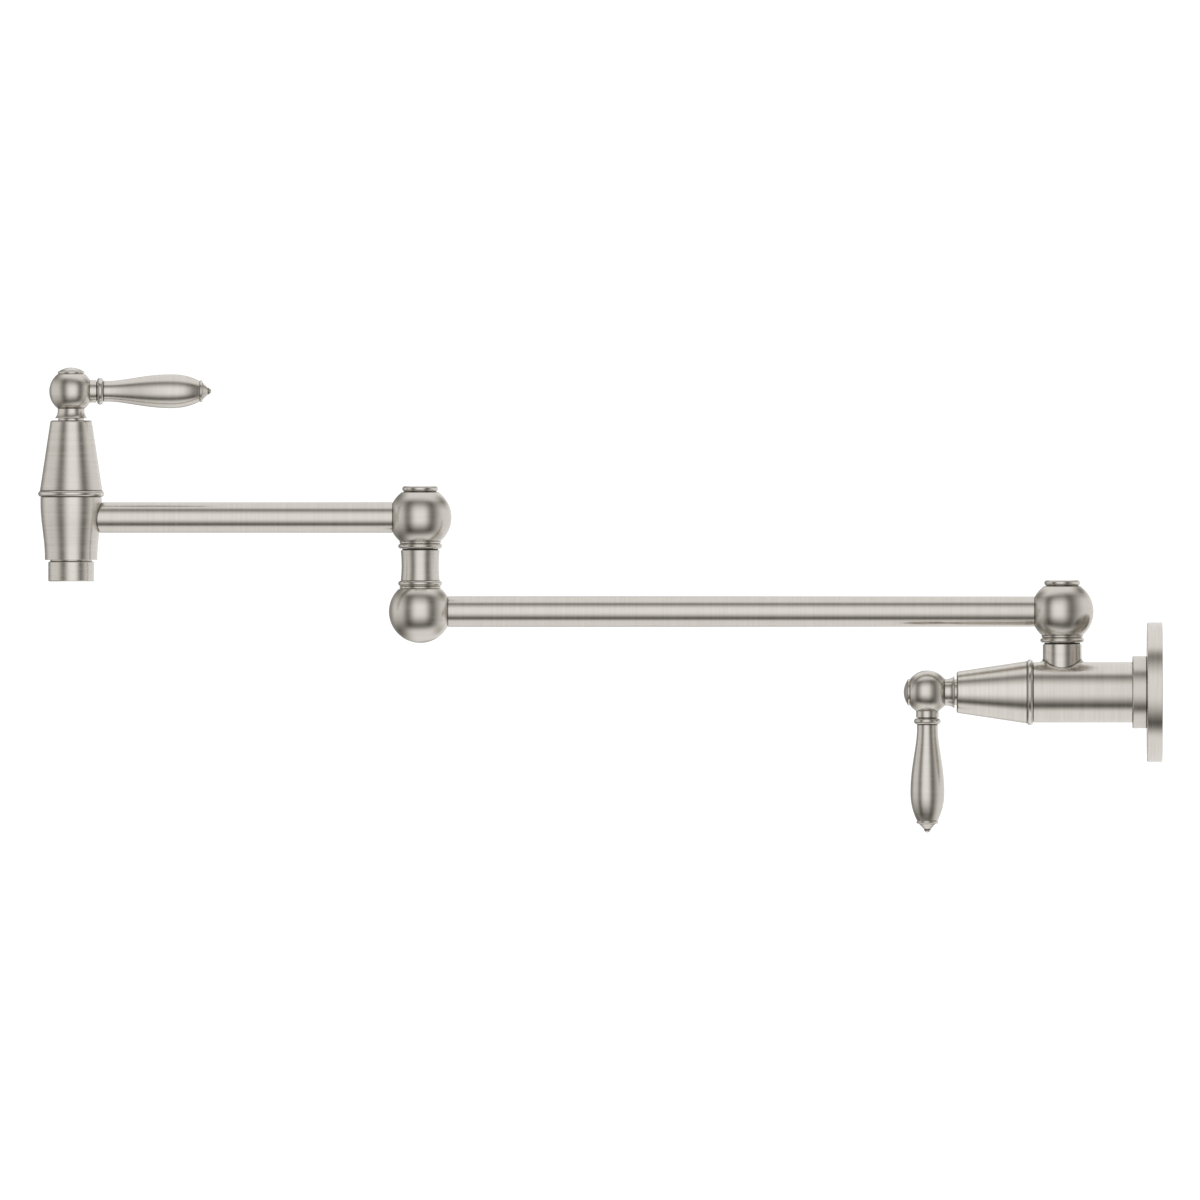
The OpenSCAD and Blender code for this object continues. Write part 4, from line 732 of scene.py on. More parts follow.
@dataclass
class ValveBody(SubAssembly):
    """The horizontal barrel with its inlet thread and the upright neck that flows out of it."""

    body_r: float = 16.4
    front: float = 69.8
    back: float = 16.1
    tail_r: float = 14.0
    inlet_r: float = 10.2
    inlet_depth: float = 15.0
    inlet_play: float = 0.1
    water_r: float = 6.0
    water_end: float = 40.0
    neck_r: float = 10.5
    neck_foot: float = 8.0
    neck_top: float = 25.9
    neck_round: float = 0.3
    root_r: float = 2.0
    crease: tuple[Spot, ...] = (  # painted light across the hollow, from the body at 0 to the neck at 1: a painted highlight, then a painted shadow line by the neck
        (0.0, 0.0), (0.3, 0.6), (0.6, 0.0), (0.8, -0.8), (0.95, -0.8), (1.0, 0.0))
    thread_pitch: float = 1.814
    thread_depth: float = 0.9
    axis: Axis = Axis(along=(-1.0, 0.0, 0.0))

    def barrel(self) -> Sheet:
        """The barrel, its tail and the smooth start of its bores.

        Returns:
            The turned surface.
        """
        inlet, depth = self.inlet_r + self.inlet_play, self.inlet_depth
        outline = Outline(0, self.water_end).line(
            (self.water_r, self.water_end), (self.water_r, depth), (inlet, depth), (inlet, 0))
        outline.line((self.tail_r, 0), soft=0.6).line((self.tail_r, self.back), soft=0.0)
        outline.line((self.body_r, self.back), soft=0.4).relieved(self.body_r, self.front)
        return turned(outline, self.axis, 144)

    def neck(self, steps: int = 128, rows: int = 7) -> Sheet:
        """The neck, with the hollow that a ball of the root's radius leaves as it rolls round it.

        At angle a round the neck the ball's centre lies at C = ((n+p) cos a, (n+p) sin a,
        sqrt((R+p)^2 - ((n+p) sin a)^2)), with n the neck's radius, R the body's and p the ball's. It
        touches the body at C - p b, where b points from the body's axis to C, and the neck at the
        neck's radius. The hollow is the arc between both, so its points are C - p d, with d going
        evenly by angle from b to the way out of the neck.

        Args:
            steps: Number of steps round the neck.
            rows: Number of rows up its straight part.

        Returns:
            The neck as one closed surface.
        """
        n, big, p = self.neck_r, self.body_r, self.root_r
        a = angles(steps)
        out, flat = np.stack([np.cos(a), np.sin(a), 0 * a], axis=1), np.zeros((rows, steps, 3))
        centre = (n + p) * out
        centre[:, 2] = np.sqrt((big + p) ** 2 - centre[:, 1] ** 2)
        from_body = centre * [0, 1, 1] / (big + p)
        sweep = np.arccos(np.clip((from_body * out).sum(1), -1, 1))[:, None]
        t = np.linspace(0, 1, 13)[:, None, None]
        way = (np.sin((1 - t) * sweep) * from_body + np.sin(t * sweep) * out) / np.sin(sweep)
        rise = np.linspace(0, 1, rows + 1)[1:, None]
        top = self.neck_top - self.neck_round
        shaft = n * out + ((1 - rise) * centre[:, 2] + rise * top)[..., None] * [0, 0, 1]
        lip = Outline(0, top - 1).line((n, top - 1), soft=0)
        lip.line((n, self.neck_top), soft=self.neck_round).line((0, self.neck_top))
        lip = turned(lip, Axis(start=(1.0, 0.0, 0.0)), steps)
        end = slice(3, None)  # what the lip has above the shaft
        local = np.concatenate([flat[:1] + [0, 0, self.neck_foot], centre - p * way, shaft, lip.points[end]])
        normal = np.concatenate([flat[:1] - [0, 0, 1], way, flat + out, lip.normals[end]])
        crease = np.interp(t[..., 0], *zip(*self.crease)) * np.ones(steps)
        wear_and_painted_light = np.concatenate([flat[:1, :, 0], crease, flat[..., 0], lip.wear_and_painted_light[end]])
        return on_axis(Axis((WALL_X, 0.0, 0.0), start=(1.0, 0.0, 0.0)), local, normal, wear_and_painted_light)

    def thread(self, steps: int = 72) -> Sheet:
        """The pipe thread in the inlet: r(z, a) = root - depth * tri(z/pitch - a/2pi), faded at the ends.

        Args:
            steps: Number of steps round the thread.

        Returns:
            The threaded sleeve, open at both ends like the bore that it lines.
        """
        z = np.arange(0.0, self.inlet_depth, self.thread_pitch / 10)[::-1][:, None]
        a = angles(steps)
        phase = (z / self.thread_pitch - a / (2 * math.pi)) % 1
        fade = np.clip(np.minimum(z, self.inlet_depth - z) / self.thread_pitch, 0, 1)
        r = self.inlet_r - self.thread_depth * (1 - np.abs(2 * phase - 1)) * fade
        local = np.stack([r * np.cos(a), r * np.sin(a), z * np.ones(steps)], axis=2)
        return on_axis(self.axis, local, grid_normals(local), np.zeros(r.shape))

    def build(self) -> None:
        """Makes the body as one casting of barrel and neck, and the thread."""
        self.add("valve_barrel_and_neck", Body.WALL, NICKEL_TURNED, [self.barrel(), self.neck()],
                 "valve_body")
        self.add("inlet_thread", Body.WALL, BRASS_TURNED, [self.thread()])


@dataclass
class ValveUnit(SubAssembly):
    """A bonnet with its end bead over a ceramic-disc cartridge, whose sealed pieces stay CAD nodes."""

    staying = {"{}_cartridge_body": BRASS_TURNED, "{}_cartridge_oring": RUBBER_NITRILE,
               "{}_seat_seal": RUBBER_NITRILE, "{}_fixed_disc": CERAMIC_LAPPED}
    place: str = "wall"
    body: Body = Body.WALL
    axis: Axis = Axis()
    finish: Finish = NICKEL_TURNED
    parting: float = 24.4
    bonnet_len: float = 41.2
    base_r: float = 16.9
    tip_r: float = 11.3
    tip_round: float = 1.2
    bead_r: float = 17.85
    bead_w: float = 3.2
    bead_foot: float = 0.8
    bush_r: float = 7.0
    bush_h: float = 1.1
    bush_sunk: float = 0.5

    def build(self) -> None:
        """Turns the cone with its bead, and the flange of the bush that shows in the recess."""
        p, low, top, half = self.place, self.parting, self.parting + self.bonnet_len, self.bead_w / 2
        cone_top, tip = top - self.tip_round, self.tip_r - self.tip_round
        slope = (self.base_r - self.tip_r) / (cone_top - low - self.bead_w)
        mid = (self.bead_r - half, low + half)
        join = (self.base_r, mid[1] + half * math.sin(math.acos((self.base_r - mid[0]) / half)))
        foot = (self.base_r - slope * self.bead_foot, join[1] + self.bead_foot)
        cone = Outline(0, low).line((mid[0], low), soft=0.0).rim(mid, (self.bead_r, mid[1]), join)
        cone.line(foot, (self.tip_r, cone_top), soft=0.0)
        cone.arc((tip, cone_top), (tip, top)).line((0, top))
        cone.meets((mid[0] + 0.3, low), (mid[0] + 0.9, low + 0.3))  # the shadow line at the parting
        cone.meets((self.tip_r - 0.5, top - 0.15))  # and the one round the recess
        self.add(f"{p}_bonnet_cone", self.body, self.finish, [turned(cone, self.axis, 144)], f"{p}_bonnet")
        low, head = top - self.bush_sunk, top + self.bush_h
        bush = Outline(0, low, soft=0.15).line((self.bush_r, low), (self.bush_r, head), (0, head))
        self.add(f"{p}_bush_flange", self.body, NICKEL_SATIN, [turned(bush, self.axis, 72)], f"{p}_stem_bush")


@dataclass
class LeverHandle(SubAssembly):
    """The turned ball hub with its flared skirt and cap, and the swelling lever with its tip.

    The driven pieces inside the hub and the cartridge stay CAD nodes.
    """

    staying = {"{}_moving_disc": CERAMIC_LAPPED, "{}_stem": BRASS_TURNED, "{}_stem_orings": RUBBER_NITRILE,
               "{}_stem_clip": STEEL_ROLLED, "{}_handle_screw": STEEL_ROLLED}
    place: str = "wall"
    body: Body = Body.WALL_HANDLE
    axis: Axis = Axis()
    lever_axis: Axis = Axis()
    off_bonnet: float = 15.8
    ball_r: float = 11.8
    flat: float = 9.2
    rise: float = 14.6
    waist_r: float = 7.2
    skirt_r: float = 8.8
    flare_h: float = 4.1
    neck_foot: float = 4.0
    neck_r: float = 6.1
    neck_end: float = 13.7
    blend: float = 0.5
    cap_r: float = 7.25
    cap_rim: float = 1.6
    dome_r: float = 6.45
    dome_h: float = 2.0
    core_r: float = 5.2
    core_in: float = 0.1
    lever_bead_r: float = 7.25
    lever_bead_w: float = 3.3
    lever_waist_r: float = 5.6
    lever_belly_r: float = 9.15
    lever_start: float = 14.0
    lever_waist: float = 20.0
    lever_belly: float = 54.0
    lever_end: float = 69.3
    swell_pace: float = 0.85
    nose_pace: float = 2.2
    tip_disc_r: float = 5.9
    tip_disc_w: float = 1.7
    tip_cone_r: float = 4.6
    tip_cone_len: float = 3.0
    tip_knob_r: float = 1.8

    def hub(self) -> list[Sheet]:
        """The ball on its skirt, and its neck for the lever.

        Where the ball meets the neck, a hollow of the blend's radius touches both: its centre lies one
        blend outside each, so it is a crossing of two offset outlines.

        Returns:
            The two turned surfaces, heights counted from the ball's centre.
        """
        reach, r, foot = self.ball_r + self.blend, self.ball_r, -self.rise
        low, flare = -math.sqrt(r ** 2 - self.waist_r ** 2), self.skirt_r - self.waist_r
        flare_r = (self.flare_h ** 2 + flare ** 2) / (2 * flare)
        waist = (self.waist_r, foot + self.flare_h)
        ball = Outline(0, foot, groove=0.3).line((self.skirt_r, foot), soft=0.12)
        ball.arc((self.waist_r + flare_r, waist[1]), waist).line((self.waist_r, low), soft=0.0)
        ball.meets((self.waist_r + 0.45, low + 0.4)).arc((0, 0), (r, 0))  # a shadow just above the waist
        ball.arc((0, 0), (math.sqrt(r ** 2 - self.flat ** 2), self.flat)).line((0, self.flat))
        side = (self.neck_r + self.blend, math.sqrt(reach ** 2 - (self.neck_r + self.blend) ** 2))
        touch = (side[0] * r / reach, side[1] * r / reach)
        sunk = (touch[0] - 0.6, touch[1] - 0.9)  # a point inside the ball, where the neck starts
        neck = Outline(0, self.neck_foot).line(sunk, touch, soft=0.0).meets(touch)
        neck.arc(side, (self.neck_r, side[1])).line((self.neck_r, self.neck_end), soft=0.25)
        neck.line((0, self.neck_end))
        return [turned(ball, self.axis, 112), turned(neck, self.lever_axis, 72)]

    def cap(self) -> Sheet:
        """The button on the ball: a half-round rim under a shallow dome.

        Returns:
            The turned surface.
        """
        rim, foot = self.flat + self.cap_rim, self.cap_r - self.cap_rim / 2
        bow = (self.dome_r ** 2 + self.dome_h ** 2) / (2 * self.dome_h)
        outline = Outline(0, self.flat).meets((foot, self.flat)).bead(self.cap_r, rim)
        outline.line((self.dome_r, rim), soft=0.15)
        return turned(outline.arc((0, rim + self.dome_h - bow), (0, rim + self.dome_h)), self.axis)

    def grip(self) -> Sheet:
        """The lever: bead, waist, a swell r = w + s sin^2(90 t^0.85), and a nose r = b - s t^2.2.

        Returns:
            The turned surface.
        """
        swell, foot, bead = self.lever_belly_r - self.lever_waist_r, self.lever_start, self.lever_bead_w
        t = np.linspace(0, 1, 41)
        rise = np.stack([self.lever_waist_r + swell * np.sin(math.pi / 2 * t ** self.swell_pace) ** 2,
                         self.lever_waist + (self.lever_belly - self.lever_waist) * t], axis=1)
        nose = np.stack([self.lever_belly_r - swell * t ** self.nose_pace,
                         self.lever_belly + (self.lever_end - self.lever_belly) * t], axis=1)
        start = self.neck_end - self.core_in
        outline = Outline(0, start, groove=0.8).line((self.core_r, start), (self.core_r, foot), soft=0.0)
        outline.meets((self.core_r, foot)).bead(self.lever_bead_r, foot + bead)
        outline.line((self.lever_waist_r, foot + bead), soft=0.25)
        return turned(outline.line(*rise, *nose[1:], (0, self.lever_end)), self.lever_axis)

    def tip(self) -> Sheet:
        """The finial: a thin round disc, a cone and a small knob.

        Returns:
            The turned surface.
        """
        disc_end = self.lever_end + self.tip_disc_w
        knob = disc_end + self.tip_cone_len
        outline = Outline(0, self.lever_end).bead(self.tip_disc_r, disc_end).line(
            (self.tip_cone_r, disc_end), (self.tip_knob_r, knob), soft=0.15)
        return turned(outline.arc((0, knob), (0, knob + self.tip_knob_r)), self.lever_axis, 64)

    def build(self) -> None:
        """Makes hub, cap, lever and tip."""
        for name, sheets, node in (
                ("handle_ball", self.hub(), "lever_hub"), ("handle_button", [self.cap()], "hub_cap"),
                ("lever_grip", [self.grip()], "lever"), ("lever_tip", [self.tip()], "lever_finial")):
            self.add(f"{self.place}_{name}", self.body, NICKEL_SATIN, sheets, f"{self.place}_{node}")


@dataclass
class Swivel(SubAssembly):
    """A ball that turns on a neck, with the bead and ring under it and the cap on top.

    The spindle with its seals and nut inside the ball stay CAD nodes, and so does the glide ring
    that shows under it.
    """

    staying = {"{}_swivel_ring": ACETAL_BLACK, "{}_swivel_spindle": BRASS_TURNED,
               "{}_swivel_orings": RUBBER_NITRILE, "{}_swivel_washer": STEEL_ROLLED,
               "{}_swivel_nut": BRASS_TURNED}
    place: str = "wall"
    body: Body = Body.LOWER_ARM
    axis: Axis = Axis()
    ball_r: float = 16.9
    rise: float = 17.65
    gap: float = 0.9
    bead_r: float = 11.9
    bead_h: float = 2.6
    ring_r: float = 11.2
    ring_h: float = 1.6
    flat: float = 13.65
    cap_r: float = 9.7
    cap_h: float = 3.3
    foot_r: float = 9.1
    foot_h: float = 0.3
    # how far the painted shade reaches from the hollow corners of bead, ring and ball
    groove: float = 0.36

    def ball(self) -> Sheet:
        """Bead, ring and ball in one outline, each arc running to where it crosses the next.

        The ring's circle, of radius h, crosses the ball's, of radius R, at a share
        (1 + (h^2 - R^2)/d^2)/2 of the way from its centre to the ball's, with d their distance, and
        from there outwards at a right angle until it is h away from its centre.

        Returns:
            The turned surface.
        """
        ring_low, half = self.gap + self.bead_h, self.ring_h / 2
        ring_mid, middle = (self.ring_r - half, ring_low + half), (0.0, self.rise)
        way = np.subtract(middle, ring_mid)
        share = (1 + (half ** 2 - self.ball_r ** 2) / (way @ way)) / 2
        off = math.sqrt(half ** 2 / (way @ way) - share ** 2)
        join = tuple(ring_mid + share * way + off * way[::-1] * [1, -1])
        edge = (math.sqrt(self.ball_r ** 2 - self.flat ** 2), self.rise + self.flat)
        outline = Outline(0, self.gap, groove=self.groove).bead(self.bead_r, ring_low)
        outline.line((self.ring_r - half, ring_low), soft=0.0).rim(ring_mid, (self.ring_r, ring_mid[1]), join)
        outline.arc(middle, (self.ball_r, self.rise)).arc(middle, edge).meets(edge).line((0, edge[1]))
        return turned(outline, self.axis, 128)

    def cap(self) -> Sheet:
        """The cap: a disc with a half-round edge, on a foot that stands back a little.

        Returns:
            The turned surface.
        """
        low, top = self.rise + self.flat, self.rise + self.flat + self.cap_h
        outline = Outline(0, low).line((self.foot_r, low), (self.foot_r, low + self.foot_h), soft=0.0)
        return turned(outline.meets((self.foot_r, low)).bead(self.cap_r, top).line((0, top)), self.axis)

    def build(self) -> None:
        """Makes ball and cap."""
        p = self.place
        self.add(f"{p}_ball_joint", self.body, NICKEL_SATIN, [self.ball()], f"{p}_swivel_ball")
        self.add(f"{p}_ball_button", self.body, NICKEL_SATIN, [self.cap()], f"{p}_swivel_cap")


@dataclass
class Elbow(SubAssembly):
    """The plain ball at the end of the long tube and the waisted neck that stands on it."""

    axis: Axis = Axis((ELBOW_X, 0.0, LOWER_Z))
    ball_r: float = 16.9
    seat: float = 12.15
    ring_r: float = 11.2
    ring_h: float = 1.6
    bead_r: float = 11.9
    bead_h: float = 2.9
    neck_r: float = 10.5
    waist_len: float = 16.5
    waist_in: float = 0.45

    def build(self) -> None:
        """Turns ball and neck."""
        r = self.ball_r
        ball = Outline(0, -r).arc((0, 0), (r, 0)).arc((0, 0), (math.sqrt(r ** 2 - self.seat ** 2), self.seat))
        self.add("elbow_lower_ball_joint", Body.LOWER_ARM, NICKEL_SATIN,
                 [turned(ball.line((0, self.seat)), self.axis, 128)], "elbow_lower_ball")
        waist, half = self.ring_h + self.bead_h, self.waist_len / 2
        bow = (half ** 2 + self.waist_in ** 2) / (2 * self.waist_in)
        top, centre = waist + self.waist_len, (self.neck_r - self.waist_in + bow, waist + half)
        neck = Outline(0, 0, groove=Swivel.groove).meets((self.ring_r - self.ring_h / 2, 0))
        neck.bead(self.ring_r, self.ring_h).bead(self.bead_r, waist)
        neck.line((self.neck_r, waist), soft=0.0).arc(centre, (self.neck_r, top), soft=0.3).line((0, top))
        self.add("elbow_waisted_neck", Body.LOWER_ARM, NICKEL_SATIN,
                 [turned(neck, self.axis.shifted(self.seat), 112)], "elbow_neck")


@dataclass
class Arms(SubAssembly):
    """The two tubes, each running out of a ball, the short one into the spout barrel."""

    tube_r: float = 8.2
    ball_r: float = 16.9
    groove: float = 0.3
    groove_half: float = 0.4
    groove_off: float = 0.1  # how far outside the socket the groove's middle lies
    near: tuple[float, ...] = (  # rows beside a seam, from inside the socket to the free tube
        2.0, 0.5, 0.2, 0.1, 0.0, -0.1, -0.2, -0.3, -0.4, -0.5, -1.0)
    rows: int = 24

    def tube(self, start: Array, end: Array, z: float) -> Sheet:
        """A tube along -X whose ends follow what they run into.

        P(s, a) = (x(s, a), -r cos a, r sin a), where x goes from the start line to the end line, and
        both lines depend on the angle a. At a distance d from the middle of a seam's groove r is
        smaller by the groove's depth times cos^2 of 90 d/w, with w half the groove's width.

        Args:
            start: X of the seam at the wall end, for each column.
            end: X of the seam at the spout end, for each column.
            z: Height of the tube's axis.

        Returns:
            The tube, closed inside both sockets.
        """
        steps, near = len(start), np.array(self.near)
        a = angles(steps)
        share = np.linspace(0, 1, self.rows + 2)[1:-1, None]
        inside = (1 - share) * (start + near[-1]) + share * (end - near[-1])
        x = np.concatenate([start + near[:, None], inside, (end - near[:, None])[::-1]])
        seam = np.concatenate([near, np.full(self.rows, near[-1]), near[::-1]])[:, None]
        off = np.abs(seam + self.groove_off) / self.groove_half
        dip = np.cos(np.clip(off, 0, 1) * math.pi / 2) ** 2
        r = self.tube_r - self.groove * dip
        points = np.stack([x, -r * np.cos(a), r * np.sin(a)], axis=2)
        pole = np.array([1.0, 0.0, 0.0]) * np.ones((1, steps, 1))
        normals = np.concatenate([pole, grid_normals(points), -pole])
        points = np.concatenate([points[0].mean(0) * pole, points, points[-1].mean(0) * pole])
        turning = points[..., [1, 2, 0]] * [1, 1, -1]
        # the groove at each seam is also painted with shade, darkest in its middle
        wear_and_painted_light = np.pad(-dip, ((1, 1), (0, 0))) * np.ones(steps)
        return Sheet(points + [0, 0, z], normals, turning, wear_and_painted_light)

    def build(self, steps: int = 112) -> None:
        """Makes both tubes: a ball is left at its crossing circle, the barrel along its saddle.

        Args:
            steps: Number of steps round each tube.
        """
        a, flush = angles(steps), math.sqrt(self.ball_r ** 2 - self.tube_r ** 2) * np.ones(steps)
        barrel_r = SpoutBarrel().radius(UPPER_Z + self.tube_r * np.sin(a) - SPOUT_FOOT)
        saddle = np.sqrt(barrel_r ** 2 - (self.tube_r * np.cos(a)) ** 2)
        self.add("long_arm_tube", Body.LOWER_ARM, NICKEL_TUBE,
                 [self.tube(WALL_X - flush, ELBOW_X + flush, LOWER_Z)], "lower_arm_tube")
        self.add("short_arm_tube", Body.UPPER_ARM, NICKEL_TUBE,
                 [self.tube(ELBOW_X - flush, SPOUT_X + saddle, UPPER_Z)], "upper_arm_tube")


@dataclass
class SpoutBarrel(SubAssembly):
    """The tapered barrel that holds the outlet valve, and the aerator in its foot.

    The honeycomb insert shows in the mouth, with screen and washer behind it.
    """

    staying = {"aerator_insert": ACETAL_WHITE, "aerator_screen": STEEL_ROLLED,
               "aerator_washer": RUBBER_NITRILE}
    axis: Axis = Axis((SPOUT_X, 0.0, SPOUT_FOOT))
    length: float = 34.1
    top_r: float = 16.55
    foot_r: float = 14.15
    foot_land: float = 0.5
    top_land: float = 3.0
    outlet_r: float = 5.5
    outlet_end: float = 9.5
    thread_r: float = 11.3
    thread_top: float = 6.7
    sleeve_r: float = 12.35
    sleeve_len: float = 10.7
    gap: float = 0.9
    bevel: float = 0.4
    mouth_r: float = 8.8
    lip: float = 1.8
    pocket_r: float = 10.2
    pocket_top: float = 5.2

    def radius(self, height: Array) -> Array:
        """Radius of the barrel: r = foot + (top - foot)(1 - cos 180t)/2, with t the share of the curve."""
        t = np.clip((height - self.foot_land) / (self.length - self.foot_land - self.top_land), 0, 1)
        return self.foot_r + (self.top_r - self.foot_r) * (1 - np.cos(math.pi * t)) / 2

    def barrel(self) -> Sheet:
        """The barrel with its outlet, hollow where the aerator goes.

        Returns:
            The turned surface.
        """
        z = np.linspace(self.foot_land, self.length - self.top_land, 41)
        outline = Outline(0, self.outlet_end).line(
            (self.outlet_r, self.outlet_end), (self.outlet_r, self.thread_top),
            (self.thread_r, self.thread_top), (self.thread_r, 0))
        outline.line((self.foot_r, 0), soft=0.25).line(*np.stack([self.radius(z), z], axis=1))
        return turned(outline.relieved(self.top_r, self.length), self.axis, 144)

    def sleeve(self) -> Sheet:
        """The aerator's sleeve with its thread, mouth and pocket.

        Returns:
            The turned surface.
        """
        r, top, b = self.sleeve_r, -self.gap, self.bevel
        low, mouth = top - self.sleeve_len, top - self.sleeve_len + self.lip
        outline = Outline(self.mouth_r, low, soft=0.15).line(
            (r - b, low), (r, low + b), (r, top - b), (r - b, top), (self.thread_r, top),
            (self.thread_r, self.pocket_top), (self.pocket_r, self.pocket_top),
            (self.pocket_r, mouth), (self.mouth_r, mouth), (self.mouth_r, low))
        return turned(outline, self.axis, 128)

    def build(self) -> None:
        """Turns barrel and sleeve."""
        self.add("spout_barrel", Body.UPPER_ARM, NICKEL_COMBED, [self.barrel()], "spout_body")
        self.add("aerator_sleeve", Body.UPPER_ARM, NICKEL_SLEEVE, [self.sleeve()], "aerator_housing")


@dataclass(frozen=True)
class SoftBox:
    """A soft-edged light panel on the tent, in degrees to the right of the camera and above it.

    Attributes:
        middle: Where its middle lies.
        half: Half its width and half its height.
        soft: How far its side and level edges fade, to each side.
        tone: Its brightness.
    """

    middle: Spot
    half: Spot
    soft: Spot
    tone: float


@dataclass
class Studio:
    """Floor, light and camera: the metal reflects a tent of soft boxes with dark gaps between them.

    Its sizes are in metres and its angles in degrees.
    """

    floor_z: float = -0.36
    floor_r: float = 4.0
    floor_depth: float = 0.02
    view_x: float = -0.3036
    view_z: float = 0.0498
    view_width: float = 0.648
    lens_mm: float = 1600.0
    sensor_mm: float = 36.0
    backdrop: float = 1.1  # brightness of the room as the camera sees it
    tent: Point = (1.42, 1.39, 1.86)
    gap_tint: str = "#FFFBF1"  # the gaps between the panels are faintly warm
    gap_tone: float = 0.02
    far_tone: float = 0.35
    gap_end: float = 60.0
    far_start: float = 175.0
    wall_tone: float = 0.88
    window: SoftBox = SoftBox((-4.5, 6.7), (31.5, 39.8), (20.9, 27.9), 0.972)  # behind the camera
    walls: tuple[SoftBox, ...] = (
        SoftBox((-90.3, 9.3), (32, 52.5), (19, 50), 0.73),  # left wall
        SoftBox((160.4, 0), (100, 400), (35, 10), 0.79),  # right wall, which goes on round the back
        SoftBox((119.5, 109), (200, 41), (39, 12.4), 0.87),  # ceiling
        SoftBox((139, -105.8), (200, 41.3), (43, 15.6), 0.88))  # pale table in front of and under the object
    shades: tuple[SoftBox, ...] = (
        SoftBox((92, 80), (25, 22), (27, 24), 0.68),  # dark cloths where two walls meet: upper right
        SoftBox((77, -86), (20, 20), (22, 20), 0.40),  # lower right
        SoftBox((-88, -82), (30, 25), (20, 20), 0.11),  # lower left
        SoftBox((-92, 88), (25, 25), (20, 20), 0.2))  # upper left

    def box_light(self, tree: Tree, box: SoftBox, way: tuple[Socket, Socket]) -> Socket:
        """Brightness of one panel: tone * S(|u - u0|) * S(|v - v0|), S falling smoothly at the edge.

        Args:
            tree: The tent's node tree.
            box: The panel.
            way: Sockets with the angles to the right and upwards, in radians.

        Returns:
            The socket with the panel's brightness.
        """
        light: float | Socket = box.tone
        for angle, middle, half, soft in zip(way, box.middle, box.half, box.soft):
            off = add_node(tree, "Math", {0: angle, 1: math.radians(middle)}, operation="SUBTRACT")[0]
            size = add_node(tree, "Math", {0: off}, operation="ABSOLUTE")[0]
            edge = add_node(tree, "MapRange", {
                "Value": size, "From Min": math.radians(half - soft), "From Max": math.radians(half + soft),
                "To Min": 1.0, "To Max": 0.0}, interpolation_type="SMOOTHSTEP")[0]
            light = add_node(tree, "Math", {0: edge, 1: light}, operation="MULTIPLY")[0]
        return light

    def tent_light(self) -> bpy.types.Material:
        """The light that the tent's cloth gives off, by the direction in which it hangs.

        The way w from the tent's middle is unrolled into angles round the camera's side: with
        t = arccos(-y of w), u and v are the x and z of w, scaled so that their length is t. Where
        two walls a and b overlap the tone is a + b - ab/T, which rounds the corners of the dark gap
        round the window.

        Returns:
            The material of the tent.
        """
        material = bpy.data.materials.new("lit_tent_cloth")
        tree = cleared(material)
        place = add_node(tree, "TexCoord")["Object"]
        way = add_node(tree, "Mapping", {"Vector": place, "Location": (-self.view_x, 0.0, -self.view_z)})[0]
        way = add_node(tree, "VectorMath", {0: way}, operation="NORMALIZE")[0]
        x, y, z = add_node(tree, "SeparateXYZ", {0: way})
        front = add_node(tree, "Math", {0: y, 1: -1.0}, operation="MULTIPLY")[0]
        angle = add_node(tree, "Math", {0: front}, operation="ARCCOSINE")[0]
        side = add_node(tree, "CombineXYZ", {0: x, 2: z})[0]
        side = add_node(tree, "VectorMath", {0: side}, operation="NORMALIZE")[0]
        side = add_node(tree, "VectorMath", {0: side, "Scale": angle}, operation="SCALE")[0]
        u, _, v = add_node(tree, "SeparateXYZ", {0: side})
        tone = add_node(tree, "MapRange", {
            "Value": angle, "From Min": math.radians(self.gap_end), "From Max": math.radians(self.far_start),
            "To Min": self.gap_tone, "To Max": self.far_tone}, interpolation_type="SMOOTHSTEP")[0]
        for box in self.walls:
            light = self.box_light(tree, box, (u, v))
            free = add_node(tree, "Math", {0: tone, 1: -1 / self.wall_tone, 2: 1.0},
                            operation="MULTIPLY_ADD")[0]
            tone = add_node(tree, "Math", {0: light, 1: free, 2: tone}, operation="MULTIPLY_ADD")[0]
        for box in self.shades:
            dark = self.box_light(tree, box, (u, v))
            tone = add_node(tree, "Math", {0: tone, 1: dark}, operation="SUBTRACT", use_clamp=True)[0]
        light = self.box_light(tree, self.window, (u, v))
        tone = add_node(tree, "Math", {0: tone, 1: light}, operation="ADD")[0]
        tint = add_node(tree, "Mix", {0: tone, 6: linear(self.gap_tint), 7: linear(WHITE)},
                        data_type="RGBA")[2]
        glow = add_node(tree, "Emission", {"Color": tint, "Strength": tone})[0]
        add_node(tree, "OutputMaterial", {"Surface": glow})
        return material

    def light_tent(self, rows: int = 49, steps: int = 96) -> None:
        """Hangs the tent: P(a, b) = middle + (A cos b cos a, B cos b sin a, C sin b).

        Only the reflections of shiny surfaces see it, so floor and camera see the plain room.

        Args:
            rows: Number of rows from pole to pole.
            steps: Number of steps round it.
        """
        b, a = np.linspace(-math.pi / 2, math.pi / 2, rows)[:, None], angles(steps)
        ball = np.stack([np.cos(b) * np.cos(a), np.cos(b) * np.sin(a), np.sin(b) * np.ones(steps)], axis=2)
        size, middle = np.array(self.tent) / MM, (self.view_x / MM, 0.0, self.view_z / MM)
        sheet = on_axis(Axis(middle, start=(1.0, 0.0, 0.0)), ball * size, unit(ball / size),
                        np.zeros((rows, steps)))
        tent = shown("light_tent", mesh_of("light_tent", [sheet]))
        tent.data.materials.append(self.tent_light())
        for ray in ("camera", "diffuse", "transmission", "shadow", "volume_scatter"):
            setattr(tent, "visible_" + ray, False)

